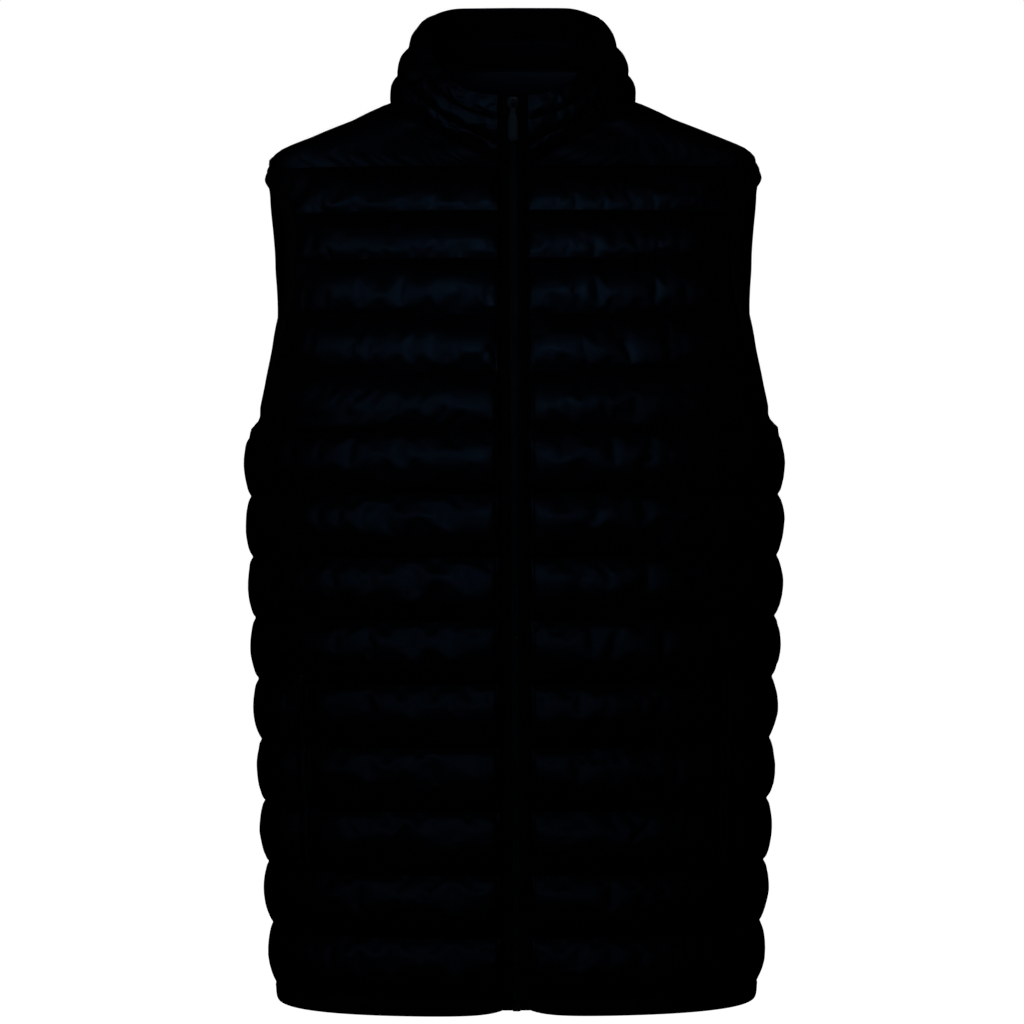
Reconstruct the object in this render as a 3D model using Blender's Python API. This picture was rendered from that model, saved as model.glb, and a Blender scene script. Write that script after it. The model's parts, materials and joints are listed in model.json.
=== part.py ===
"""A quilted, padded vest with a stand collar, zipped up and filled out as it is worn.

Every cloth piece lies on one figure, whose level sections are half superellipses in front and
behind. The front faces -Y, the wearer's left is +X, and the origin lies between the two points
where the shoulder seams meet the neck. Metres, +Z up.
"""

import math

import bmesh
import bpy
import numpy as np
from mathutils import Matrix, Vector

# --- Driving sizes ---------------------------------------------------------------------------
GAP = 0.0003  # between pieces that are sewn together
WALL = 0.003  # cloth and lining, from a quilting line to the plain inside
QUILT_PITCH = 0.0447  # along the cloth, from one quilting line to the next
PUFF = 0.0052  # how far a tube of padding stands out between its lines
PUFF_AT = (0.0, 0.15, 0.5, 0.85)  # where a tube has its rows, as parts of the pitch
PUFF_FULLNESS = 0.5  # 1 is a parabola across the tube, less is fuller
EDGE_SOFT = 0.014  # a tube reaches its full height this far from the zip
SEAM_SOFT = 0.035  # and this far from the other seams
EDGE_ZIP = 0.35  # part of the full height that is left at the zip
EDGE_SEAM = 0.5  # and at the side seam, shoulder seam and armhole

HEM_Z = -0.651  # lowest quilting line, where the hem binding is sewn on
ARMPIT_Z = -0.2495  # top of the side seam
TIP_Z = -0.044  # outer end of the shoulder seam
NECK_FRONT_Z = -0.054  # where the neck seam meets the zip
NECK_POINT_Z = -0.002  # inner end of the shoulder seam, on the front
BACK_NECK_RISE = 0.010  # the back neck's middle above its ends
RISE_FROM_Z = -0.10  # where the back's rows begin to arch
ZIP_HALF = 0.0105  # from the centre plane to a front panel's edge

FRONT_COLUMNS = (0, 0.05, 0.14, 0.24, 0.34, 0.44, 0.51, 0.548, 0.597, 0.64, 0.73, 0.82, 0.92, 1)
BACK_COLUMNS_PER_SIDE = 11
POCKET_COLUMN = 7  # the pocket's zip lies between this column of the front and the next

# The figure, one level section a row, in metres. round is the superellipse's exponent.
FIGURE_COLUMNS = ("z", "half_width", "front", "back", "axis_y", "front_round", "back_round")
FIGURE = (
    (-0.665, 0.1750, 0.126, 0.117, 0.000, 3.0, 2.6),
    (-0.560, 0.1825, 0.132, 0.116, 0.000, 2.7, 2.6),
    (-0.430, 0.1895, 0.136, 0.113, 0.000, 2.6, 2.6),
    (-0.300, 0.1948, 0.137, 0.122, 0.000, 2.5, 2.5),
    (-0.2495, 0.1955, 0.135, 0.128, 0.000, 2.5, 2.5),
    (-0.2385, 0.1885, 0.1325, 0.129, 0.000, 2.5, 2.5),
    (-0.207, 0.1905, 0.1235, 0.132, 0.001, 2.5, 2.5),
    (-0.165, 0.1965, 0.109, 0.134, 0.003, 2.4, 2.5),
    (-0.1245, 0.1965, 0.094, 0.131, 0.005, 2.4, 2.5),
    (-0.0875, 0.1910, 0.070, 0.122, 0.007, 2.5, 2.6),
    (-0.062, 0.1840, 0.050, 0.114, 0.008, 2.8, 2.8),
    (-0.044, 0.1785, 0.040, 0.105, 0.009, 3.0, 2.8),
    (-0.029, 0.1460, 0.034, 0.096, 0.010, 3.2, 2.7),
    (-0.0145, 0.1135, 0.026, 0.086, 0.010, 3.2, 2.5),
    (0.000, 0.0915, 0.018, 0.075, 0.010, 3.0, 2.2),
)

# The front panel's neck edge.
NECKLINE = (  # z, x
    (-0.054, 0.0105),
    (-0.046, 0.0200),
    (-0.039, 0.0310),
    (-0.031, 0.0470),
    (-0.015, 0.0710),
    (-0.002, 0.0900),
)

# The panels' armhole edges.
ARMHOLE = (  # z, y in front, y behind
    (-0.2495, 0.000, 0.000),
    (-0.243, -0.030, 0.030),
    (-0.232, -0.047, 0.047),
    (-0.215, -0.060, 0.062),
    (-0.185, -0.068, 0.075),
    (-0.150, -0.066, 0.080),
    (-0.115, -0.055, 0.077),
    (-0.085, -0.037, 0.066),
    (-0.062, -0.018, 0.048),
    (-0.044, 0.009, 0.009),
)

# The collar's top edge, from the zip round to the middle of the back.
COLLAR_TOP = (  # x, y, z
    (0.0105, -0.045, -0.002),
    (0.034, -0.041, 0.003),
    (0.056, -0.022, 0.026),
    (0.0665, 0.010, 0.060),
    (0.058, 0.041, 0.0705),
    (0.042, 0.054, 0.0763),
    (0.022, 0.060, 0.0775),
    (0.0, 0.061, 0.0778),
)
COLLAR_BAFFLES = 3
COLLAR_GAP = 0.0006  # between the collar and the panels' neck edge
COLLAR_BOW = 0.003  # how far the collar's middle stands out of a straight slope
COLLAR_PUFF = 0.0036

BINDING_WIDTH = 0.008
BINDING_GAP = 0.0009  # wide enough for the bends of the armhole
BINDING_OUT = 0.0018  # its outside above the quilting line
BINDING_IN = 0.0032  # its inside below the quilting line
BINDING_FAR_OUT = 0.0011  # the same two at its free edge, which is thinner
BINDING_FAR_IN = 0.0026
HEM_WIDTH = 0.010

TAPE_INNER = 0.0033  # from the centre plane to a tape's edge
TAPE_RECESS = 0.0010  # the tape's face behind the panel's edge
TAPE_THICK = 0.0010
CHAIN_HALF = 0.0029
CHAIN_OUT = 0.0002  # the chain's face behind the panel's edge
CHAIN_THICK = 0.0024
BOX_SIZE = (0.0058, 0.0036, 0.0090)

SLIDER_CORE = (0.0058, 0.0040, 0.0090)
SLIDER_PLATE = (0.0084, 0.0012, 0.0094)
CORE_SINK = 0.0004  # how far the core reaches into the plate
STOP_LENGTH = 0.0006  # of zip left above the slider
BRIDGE_RADIUS = 0.0024
BRIDGE_WIDTH = 0.0018
HOLE_RADIUS = 0.0012
HINGE_OUT = 0.0016  # from the slider's face to the pull's bar
BAR_RADIUS = 0.0007
BAR_IN_ARM = 0.0018  # how far the bar reaches into each arm of the pull
PULL_LENGTH = 0.0290
PULL_WIDTH = 0.0076
PULL_THICK = 0.0014
SLOT_LENGTH = 0.0042  # from the bar to the solid part of the pull
SLOT_HALF = 0.0013
ARM_WIDTH = 0.0016
ARM_THICK = 0.00136  # a little less than the tab
ARM_PAST = 0.0007  # how far an arm runs past the bar
ARM_SINK = 0.0003  # and into the tab

POCKET_TOP_Z = -0.4200
POCKET_BOTTOM_Z = -0.5560
POCKET_SINK = 0.75  # part of the padding's height that the pocket's seam takes away
POCKET_SEAT = 0.00045  # the pocket zip's underside above the panel
POCKET_THICK = 0.0016
POCKET_SCALE = 0.72  # the pocket's slider and pull against the front's

SECTION_SAMPLES = 500
LEVEL_STEP = 0.0005  # between the samples that place the quilting lines
CLOSE = 1e-4  # two levels nearer than this are one
SMOOTH_ANGLE = math.radians(50)

COLLECTION = "puffer_vest"
NYLON = (0.0030, 0.0036, 0.0052, 1)
BLACK_METAL = (0.010, 0.010, 0.011, 1)


# --- The figure ------------------------------------------------------------------------------
def smooth(table, column, at):
    """Reads a column of a table on a smooth curve that doesn't overshoot its rows."""
    rows = np.array(table, float)
    xs, ys = rows[:, 0], rows[:, column]
    step, slope = np.diff(xs), np.diff(ys) / np.diff(xs)
    tangent = np.zeros(len(xs))
    same = slope[:-1] * slope[1:] > 0
    before, after = np.where(same, slope[:-1], 1), np.where(same, slope[1:], 1)
    mean = 3 * (step[:-1] + step[1:]) / (
        (2 * step[1:] + step[:-1]) / before + (step[1:] + 2 * step[:-1]) / after
    )
    tangent[1:-1] = np.where(same, mean, 0)
    tangent[0], tangent[-1] = slope[0], slope[-1]
    at = np.clip(at, xs[0], xs[-1])
    i = np.clip(np.searchsorted(xs, at) - 1, 0, len(step) - 1)
    t, h = (at - xs[i]) / step[i], step[i]
    return (
        ys[i] * (1 + 2 * t) * (1 - t) ** 2
        + ys[i + 1] * t * t * (3 - 2 * t)
        + h * tangent[i] * t * (1 - t) ** 2
        - h * tangent[i + 1] * t * t * (1 - t)
    )


def distances(points):
    """Each point's distance along the line through the points."""
    return np.concatenate([[0], np.cumsum(np.linalg.norm(np.diff(points, axis=0), axis=1))])


def figure(name, z):
    return float(smooth(FIGURE, FIGURE_COLUMNS.index(name), z))


def rise(z, y, behind):
    """How far a point of the back is raised, so that the back neck's middle is above its ends."""
    if not behind:
        return 0 * y
    ramp = np.clip((z - RISE_FROM_Z) / -RISE_FROM_Z, 0, 1)
    reach = (y - figure("axis_y", z)) / figure("back", z)
    return BACK_NECK_RISE * ramp * ramp * (3 - 2 * ramp) * reach * reach


def section(z, behind):
    """Points from the centre plane round to the side, and the distance along them."""
    half, axis = figure("half_width", z), figure("axis_y", z)
    depth = figure("back", z) if behind else -figure("front", z)
    power = 2 / figure("back_round" if behind else "front_round", z)
    turn = np.linspace(0, math.pi / 2, SECTION_SAMPLES)
    x, y = half * np.sin(turn) ** power, axis + depth * np.cos(turn).clip(0) ** power
    return x, y, distances(np.stack([x, y], axis=1))


def quilt_levels(behind):
    """Levels of the quilting lines, one pitch apart along the middle of the front or back."""
    z = np.arange(HEM_Z, 0, LEVEL_STEP)
    depth = np.array([figure("back" if behind else "front", v) for v in z])
    axis = np.array([figure("axis_y", v) for v in z])
    along = distances(np.stack([z, axis + depth if behind else axis - depth], axis=1))
    return [float(v) for v in np.interp(np.arange(0, along[-1], QUILT_PITCH), along, z)]


def panel_rows(behind):
    """Levels of a panel's rows, and the height of the padding at each as a part of PUFF."""
    top = 0.0 if behind else NECK_POINT_Z
    lines = [z for z in quilt_levels(behind) if z < top - QUILT_PITCH / 3] + [top]
    nearest = int(np.argmin([abs(z - ARMPIT_Z) for z in lines]))
    lines[nearest] = ARMPIT_Z
    rows = []
    for low, high in zip(lines, lines[1:]):
        for t in PUFF_AT:
            rows.append((low + t * (high - low), (4 * t * (1 - t)) ** PUFF_FULLNESS))
    rows.append((top, 0.0))
    spot = int(np.argmin([abs(z - TIP_Z) for z, _ in rows]))
    rows[spot] = (TIP_Z, rows[spot][1])
    return rows


def panel_ends(z, behind):
    """How far along its section a panel starts and stops at level z."""
    x, y, along = section(z, behind)
    start, stop = 0.0, along[-1] - GAP / 2
    if not behind:
        inner = float(smooth(NECKLINE, 1, z)) if z > NECK_FRONT_Z else ZIP_HALF
        start = float(np.interp(inner, x, along))
        start += GAP if z > NECK_FRONT_Z else 0
    if ARMPIT_Z < z < TIP_Z:
        edge = float(smooth(ARMHOLE, 2 if behind else 1, z))
        sign = 1 if behind else -1
        stop = float(np.interp(-sign * edge, -sign * y, along))
    return start, stop


def half_panel(rows, columns, behind):
    """Base points of half a panel, and each point's distance from its two ends."""
    points, from_start, from_stop = [], [], []
    for z, _ in rows:
        x, y, along = section(z, behind)
        start, stop = panel_ends(z, behind)
        at = start + np.array(columns) * (stop - start)
        px, py = np.interp(at, along, x), np.interp(at, along, y)
        points.append(np.stack([px, py, z + rise(z, py, behind)], axis=1))
        from_start.append(at - start)
        from_stop.append(stop - at)
    return np.array(points), np.array(from_start), np.array(from_stop)


def outward(points):
    """Unit normals of a grid of points, away from the Z axis."""
    normal = np.cross(np.gradient(points, axis=1), np.gradient(points, axis=0))
    normal /= np.linalg.norm(normal, axis=2, keepdims=True)
    middle = points[len(points) // 4]
    away = (normal[len(points) // 4][:, :2] * middle[:, :2]).sum()
    return normal if away > 0 else -normal


def square_to_seams(rows, normal, columns):
    """Turns the normals along the side and shoulder seams into the seams' own plane."""
    for i, (z, _) in enumerate(rows):
        if not ARMPIT_Z < z < TIP_Z:
            for column in columns:
                normal[i, column, 1] = 0
                normal[i, column] /= np.linalg.norm(normal[i, column])
    return normal


def soft_edge(distance, reach, least):
    t = np.clip(distance / reach, 0, 1)
    return least + (1 - least) * np.sqrt(t * (2 - t))


# --- Building meshes -------------------------------------------------------------------------
def material(name, colour, roughness, metallic):
    made = bpy.data.materials.new(name)
    made.use_nodes = True
    shader = made.node_tree.nodes["Principled BSDF"]
    shader.inputs["Base Color"].default_value = colour
    shader.inputs["Roughness"].default_value = roughness
    shader.inputs["Metallic"].default_value = metallic
    return made


def add(name, mesh, finish):
    mesh.materials.append(finish)
    made = bpy.data.objects.new(name, mesh)
    bpy.data.collections[COLLECTION].objects.link(made)
    return made


def closed_mesh(name, points, faces):
    mesh = bpy.data.meshes.new(name)
    mesh.from_pydata([tuple(p) for p in points], [], faces)
    work = bmesh.new()
    work.from_mesh(mesh)
    bmesh.ops.recalc_face_normals(work, faces=work.faces)
    bmesh.ops.triangulate(work, faces=[f for f in work.faces if len(f.verts) > 4])
    work.to_mesh(mesh)
    work.free()
    mesh.shade_smooth()
    mesh.set_sharp_from_angle(angle=SMOOTH_ANGLE)
    return mesh


def wall(name, outer, inner, inner_rows, finish):
    """A cloth wall: a grid of outer points, and a plain inside on some of its rows."""
    height, width = outer.shape[:2]
    points = list(outer.reshape(-1, 3)) + list(inner[inner_rows].reshape(-1, 3))

    def front(row, column):
        return row * width + column

    def rear(k, column):
        return height * width + k * width + column

    faces = [
        (front(r, c), front(r, c + 1), front(r + 1, c + 1), front(r + 1, c))
        for r in range(height - 1)
        for c in range(width - 1)
    ]
    last = len(inner_rows) - 1
    for k in range(last):
        for c in range(width - 1):
            faces.append((rear(k, c), rear(k + 1, c), rear(k + 1, c + 1), rear(k, c + 1)))
        steps = range(inner_rows[k], inner_rows[k + 1] + 1)
        for c in (0, width - 1):
            faces.append((rear(k + 1, c), rear(k, c), *(front(r, c) for r in steps)))
    for c in range(width - 1):
        faces.append((front(0, c), rear(0, c), rear(0, c + 1), front(0, c + 1)))
        faces.append((front(height - 1, c), rear(last, c), rear(last, c + 1), front(height - 1, c + 1)))
    return add(name, closed_mesh(name, points, faces), finish)


def strip(name, rings, finish, loop=False):
    """A bar through rings of points, with flat ends, or closed on itself."""
    rings = np.array(rings)
    count, sides = rings.shape[:2]
    faces = []
    for r in range(count if loop else count - 1):
        a, b = r * sides, (r + 1) % count * sides
        for s in range(sides):
            t = (s + 1) % sides
            faces.append((a + s, a + t, b + t, b + s))
    if not loop:
        faces += [tuple(range(sides)), tuple(range((count - 1) * sides, count * sides))]
    return add(name, closed_mesh(name, rings.reshape(-1, 3), faces), finish)


def mirrored(points):
    return np.array(points) * (-1, 1, 1)


# --- Cloth -----------------------------------------------------------------------------------
def plain_rows(rows):
    """Rows of the plain inside: the quilting lines, and every row where the edges curve."""
    last = len(rows) - 1
    return [i for i, (z, puff) in enumerate(rows) if puff == 0 or z > ARMPIT_Z or i == last]


def front_panel():
    """Outer and base points of the front, on the +X side, with the rows of its inside."""
    rows = panel_rows(behind=False)
    base, from_zip, from_seam = half_panel(rows, FRONT_COLUMNS, behind=False)
    normal = square_to_seams(rows, outward(base), [-1])
    level = np.array([z for z, _ in rows])[:, None]
    height = np.array([puff for _, puff in rows])[:, None]
    height = height * soft_edge(from_zip, EDGE_SOFT, np.where(level > NECK_FRONT_Z, 0, EDGE_ZIP))
    height = height * soft_edge(from_seam, SEAM_SOFT, EDGE_SEAM)
    on_pocket = (level > POCKET_BOTTOM_Z) & (level < POCKET_TOP_Z)
    on_pocket = on_pocket & np.isin(np.arange(len(FRONT_COLUMNS)), (POCKET_COLUMN, POCKET_COLUMN + 1))
    height = height * np.where(on_pocket, 1 - POCKET_SINK, 1)
    return rows, base, normal, base + normal * (PUFF * height)[..., None]


def back_panel():
    """Outer and base points of the whole back, from the -X side to the +X side."""
    rows = panel_rows(behind=True)
    columns = np.linspace(0, 1, BACK_COLUMNS_PER_SIDE + 1)
    half, _, from_seam = half_panel(rows, columns, behind=True)
    base = np.concatenate([mirrored(half[:, :0:-1]), half], axis=1)
    from_seam = np.concatenate([from_seam[:, :0:-1], from_seam], axis=1)
    normal = square_to_seams(rows, outward(base), [0, -1])
    height = np.array([puff for _, puff in rows])[:, None]
    height = height * soft_edge(from_seam, SEAM_SOFT, EDGE_SEAM)
    return rows, base, normal, base + normal * (PUFF * height)[..., None]


def make_panels(nylon):
    rows, base, normal, outer = front_panel()
    inner = base - normal * WALL
    wall("front_left", outer, inner, plain_rows(rows), nylon)
    wall("front_right", mirrored(outer), mirrored(inner), plain_rows(rows), nylon)
    rows, base, normal, outer = back_panel()
    wall("back", outer, base - normal * WALL, plain_rows(rows), nylon)


def resampled(points, parts):
    """Points on a smooth curve through a line's points, at these parts of its length."""
    points = np.array(points, float)
    along = distances(points)
    at = parts * along[-1]
    return np.stack([smooth(np.stack([along, points[:, k]], 1), 1, at) for k in range(3)], 1)


def neck_edge():
    """The neck edge on the +X side, from the zip over the shoulder to the middle of the back."""
    rows, base, _, _ = front_panel()
    front = [base[i, 0] for i, (z, _) in enumerate(rows) if z >= NECK_FRONT_Z - CLOSE]
    _, base, _, _ = back_panel()
    behind = base[-1, BACK_COLUMNS_PER_SIDE:][::-1]
    return np.array([*front[:-1], (front[-1] + behind[0]) / 2, *behind[1:]])


def collar_grid():
    """Base points of the whole collar, from the -X side of the zip round to the +X side."""
    low = neck_edge()
    along = distances(low)
    top = resampled(COLLAR_TOP, along / along[-1])
    low, top = (np.concatenate([mirrored(line), line[-2::-1]]) for line in (low, top))
    up = (top - low) / np.linalg.norm(top - low, axis=1, keepdims=True)
    low = low + up * COLLAR_GAP
    away = np.cross(np.gradient(low, axis=0), up)
    away /= np.linalg.norm(away, axis=1, keepdims=True)
    away *= np.sign((away[:, :2] * (low[:, :2] - (0, figure("axis_y", 0)))).sum())
    away[[0, -1]] = (0, -1, 0)  # the ends beside the zip stay upright
    rows = [(b + t) / COLLAR_BAFFLES for b in range(COLLAR_BAFFLES) for t in PUFF_AT] + [1.0]
    grid = [low + v * (top - low) + away * COLLAR_BOW * math.sin(math.pi * v) for v in rows]
    return rows, np.array(grid), away


def make_collar(nylon):
    rows, base, away = collar_grid()
    normal = np.repeat(away[None], len(rows), axis=0)
    t = (np.array(rows) * COLLAR_BAFFLES) % 1
    t = np.where(np.minimum(t, 1 - t) < CLOSE, 0, t)[:, None]
    along = distances(base[0])
    from_zip = np.minimum(along, along[-1] - along)
    height = (4 * t * (1 - t)) ** PUFF_FULLNESS * soft_edge(from_zip, EDGE_SOFT, EDGE_ZIP)
    height = height * COLLAR_PUFF
    lines = [i for i in range(len(rows)) if t[i, 0] == 0]
    wall("collar", base + normal * height[..., None], base - normal * WALL, lines, nylon)


def armhole_edge():
    """Points and normals round the +X armhole, up the front edge and down the back one."""
    loop, normals = [], []
    for made, column in ((front_panel(), -1), (back_panel(), -1)):
        rows, base, normal, _ = made
        held = [i for i, (z, _) in enumerate(rows) if ARMPIT_Z - CLOSE < z < TIP_Z + CLOSE]
        loop.append([base[i, column] for i in held])
        normals.append([normal[i, column] for i in held])
    points = [(loop[0][0] + loop[1][0]) / 2, *loop[0][1:-1]]
    points += [(loop[0][-1] + loop[1][-1]) / 2, *loop[1][-2:0:-1]]
    sides = [normals[0][0] + normals[1][0], *normals[0][1:-1]]
    sides += [normals[0][-1] + normals[1][-1], *normals[1][-2:0:-1]]
    return np.array(points), np.array(sides) / np.linalg.norm(sides, axis=1, keepdims=True)


def binding_rings(points, normal, across, width):
    """Sections of a binding that lies beyond an edge, in the direction across."""
    near, far = points + across * BINDING_GAP, points + across * (BINDING_GAP + width)
    return np.stack(
        [
            near - normal * BINDING_IN,
            near + normal * BINDING_OUT,
            far + normal * BINDING_FAR_OUT,
            far - normal * BINDING_FAR_IN,
        ],
        axis=1,
    )


def make_bindings(nylon):
    points, normal = armhole_edge()
    along = np.roll(points, -1, axis=0) - np.roll(points, 1, axis=0)
    inward = np.cross(along, normal)
    inward /= np.linalg.norm(inward, axis=1, keepdims=True)
    inward *= np.sign((inward * (points.mean(axis=0) - points)).sum())
    rings = binding_rings(points, normal, inward, BINDING_WIDTH)
    strip("armhole_binding_left", rings, nylon, loop=True)
    strip("armhole_binding_right", mirrored(rings), nylon, loop=True)

    _, base, normal, _ = front_panel()
    _, back_base, back_normal, _ = back_panel()
    middle = BACK_COLUMNS_PER_SIDE
    half = np.array([*base[0], *back_base[0, -2 : middle : -1]])
    side = np.array([*normal[0], *back_normal[0, -2 : middle : -1]])
    points = np.array([*half, back_base[0, middle], *mirrored(half[::-1])])
    normal = np.array([*side, back_normal[0, middle], *mirrored(side[::-1])])
    normal[:, 2] = 0
    normal /= np.linalg.norm(normal, axis=1, keepdims=True)
    down = np.array((0, 0, -1))
    strip("hem_binding", binding_rings(points, normal, down, HEM_WIDTH), nylon)


# --- The front zip ---------------------------------------------------------------------------
def zip_path():
    """(y, z) of the panels' edge beside the zip, from the hem to the top of the collar."""
    rows, base, _, _ = front_panel()
    path = [base[i, 0, 1:] for i in plain_rows(rows) if rows[i][0] < NECK_FRONT_Z + CLOSE]
    _, collar, _ = collar_grid()
    path += [p[1:] for p in collar[1:, -1]]
    first = np.array((path[0][0], HEM_Z - HEM_WIDTH))
    return np.array([first, *path])


def bar_along(path, x_low, x_high, y_front, thick):
    rings = []
    for y, z in path:
        front, rear = y + y_front, y + y_front + thick
        rings.append([(x_low, front, z), (x_high, front, z), (x_high, rear, z), (x_low, rear, z)])
    return rings


def path_at(path, z):
    return float(np.interp(z, path[:, 1], path[:, 0]))


def between(path, low, high):
    inside = [p for p in path if low + CLOSE < p[1] < high - CLOSE]
    return np.array([(path_at(path, low), low), *inside, (path_at(path, high), high)])


def block(size, at):
    work = bmesh.new()
    bmesh.ops.create_cube(work, size=1)
    bmesh.ops.scale(work, vec=size, verts=work.verts)
    bmesh.ops.translate(work, vec=at, verts=work.verts)
    return work


def rod(radius, length, at, sides=12):
    """A round bar along X."""
    work = bmesh.new()
    bmesh.ops.create_cone(
        work, cap_ends=True, segments=sides, radius1=radius, radius2=radius, depth=length
    )
    bmesh.ops.rotate(work, matrix=Matrix.Rotation(math.pi / 2, 3, "Y"), verts=work.verts)
    bmesh.ops.translate(work, vec=at, verts=work.verts)
    return work


def as_object(name, work, finish):
    mesh = bpy.data.meshes.new(name)
    work.to_mesh(mesh)
    work.free()
    return add(name, mesh, finish)


def boolean(target, work, operation):
    """Joins or cuts the target with another shape, which stays in the cutters' collection."""
    mesh = bpy.data.meshes.new(target.name + "_tool")
    work.to_mesh(mesh)
    work.free()
    tool = bpy.data.objects.new(mesh.name, mesh)
    bpy.data.collections["cutters"].objects.link(tool)
    tool.hide_render = True
    tool.display_type = "WIRE"
    tool.parent = target
    modifier = target.modifiers.new(operation.lower(), "BOOLEAN")
    modifier.operation = operation
    modifier.object = tool


def make_slider(name, size, finish):
    """A slider whose pull turns about its origin, along X. Its face is towards -Y."""
    face = HINGE_OUT * size
    plate = [v * size for v in SLIDER_PLATE]
    core = [v * size for v in SLIDER_CORE]
    slider = as_object(name, block(plate, (0, face + plate[1] / 2, 0)), finish)
    core_y = face + plate[1] + core[1] / 2 - CORE_SINK * size
    boolean(slider, block(core, (0, core_y, 0)), "UNION")
    boolean(slider, rod(BRIDGE_RADIUS * size, BRIDGE_WIDTH * size, (0, 0, 0), 16), "UNION")
    boolean(slider, rod(HOLE_RADIUS * size, 4 * BRIDGE_WIDTH * size, (0, 0, 0), 12), "DIFFERENCE")
    return slider


def make_pull(name, size, finish):
    """A pull tab that hangs from a bar at its origin, along X."""
    tab = (PULL_WIDTH * size, PULL_THICK * size, (PULL_LENGTH - SLOT_LENGTH) * size)
    pull = as_object(name, block(tab, (0, 0, -SLOT_LENGTH * size - tab[2] / 2)), finish)
    arm = (ARM_WIDTH * size, ARM_THICK * size, (SLOT_LENGTH + ARM_PAST + ARM_SINK) * size)
    arm_z = (ARM_PAST - SLOT_LENGTH - ARM_SINK) * size / 2
    for side in (-1, 1):
        arm_x = side * (SLOT_HALF + ARM_WIDTH / 2) * size
        boolean(pull, block(arm, (arm_x, 0, arm_z)), "UNION")
    bar = rod(BAR_RADIUS * size, 2 * (SLOT_HALF + BAR_IN_ARM) * size, (0, 0, 0), 10)
    boolean(pull, bar, "UNION")
    return pull


def make_zip(tape_cloth, metal):
    path = zip_path()
    bottom, top = path[0, 1], path[-1, 1]
    tape = bar_along(path, TAPE_INNER, ZIP_HALF - GAP, TAPE_RECESS, TAPE_THICK)
    strip("zip_tape_left", tape, tape_cloth)
    strip("zip_tape_right", mirrored(tape), tape_cloth)

    slider_z = top - SLIDER_PLATE[2] / 2 - STOP_LENGTH
    length = between(path, bottom + BOX_SIZE[2] + GAP, slider_z - SLIDER_PLATE[2] / 2 - GAP)
    chain = bar_along(length, -CHAIN_HALF, CHAIN_HALF, CHAIN_OUT, CHAIN_THICK)
    strip("zip_chain", chain, tape_cloth)
    box_at = (0, path_at(path, bottom) + CHAIN_OUT + CHAIN_THICK / 2, bottom + BOX_SIZE[2] / 2)
    box = as_object("zip_box", block(BOX_SIZE, (0, 0, 0)), metal)
    box.location = box_at

    # The slider's plate lies just in front of the tapes, and its core between them.
    face_y = path_at(path, slider_z) + TAPE_RECESS - 2 * GAP - SLIDER_PLATE[1]
    at = Vector((0, face_y - HINGE_OUT, slider_z))
    make_slider("zip_slider", 1, metal).location = at
    make_pull("zip_pull", 1, metal).location = at


# --- The side pockets ------------------------------------------------------------------------
def pocket_rings():
    """Sections of a strip over the front's two pocket columns, on the +X side."""
    rows, _, normal, outer = front_panel()
    held = [i for i, (z, _) in enumerate(rows) if POCKET_BOTTOM_Z < z < POCKET_TOP_Z]
    rings = []
    for i in held:
        left, right = POCKET_COLUMN, POCKET_COLUMN + 1
        a, b = outer[i, left], outer[i, right]
        n = normal[i, left] + normal[i, right]
        n /= np.linalg.norm(n)
        low, high = n * POCKET_SEAT, n * POCKET_THICK
        rings.append([a + low, a + high, b + high, b + low])
    return np.array(rings)


def make_pocket(side, sign, tape_cloth, metal):
    rings = pocket_rings()
    rings = rings if sign > 0 else mirrored(rings)
    strip(f"pocket_zip_{side}", rings, tape_cloth)
    across = Vector(rings[-1][2] - rings[-1][1]).normalized() * sign
    facing = math.atan2(across.y, across.x)
    size = POCKET_SCALE
    top = (Vector(rings[-2][1]) + Vector(rings[-2][2])) / 2
    out = Vector((math.sin(facing), -math.cos(facing), 0))
    depth = HINGE_OUT + SLIDER_PLATE[1] + SLIDER_CORE[1]
    at = top + out * (depth * size + GAP)
    for piece in (
        make_slider(f"pocket_slider_{side}", size, metal),
        make_pull(f"pocket_pull_{side}", size, metal),
    ):
        piece.location = at
        piece.rotation_euler = (0, 0, facing)


def main():
    for old in list(bpy.data.objects):
        bpy.data.objects.remove(old)
    for name in (COLLECTION, "cutters"):
        bpy.context.scene.collection.children.link(bpy.data.collections.new(name))
    nylon = material("nylon", NYLON, 0.42, 0)
    tape_cloth = material("zip_tape", NYLON, 0.6, 0)
    metal = material("black_metal", BLACK_METAL, 0.35, 0.9)
    make_panels(nylon)
    make_collar(nylon)
    make_bindings(nylon)
    make_zip(tape_cloth, metal)
    for side, sign in (("left", 1), ("right", -1)):
        make_pocket(side, sign, tape_cloth, metal)


main()
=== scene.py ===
"""A quilted, padded vest with a stand collar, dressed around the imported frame.

Every cloth piece lies on one figure, whose level sections are half superellipses in front and
behind. The front faces -Y, the wearer's left is +X, metres, +Z up. Each panel starts as a grid of
soft tubes between its quilting lines, is blown up by a cloth simulation that is held along its
stitches, and gets its thickness and its rounded edges afterwards.
"""

import functools
import json
import math

import bmesh
import bpy
import numpy as np
from bpy.props import FloatProperty, FloatVectorProperty, IntProperty, PointerProperty
from mathutils import Matrix, Vector


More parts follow.
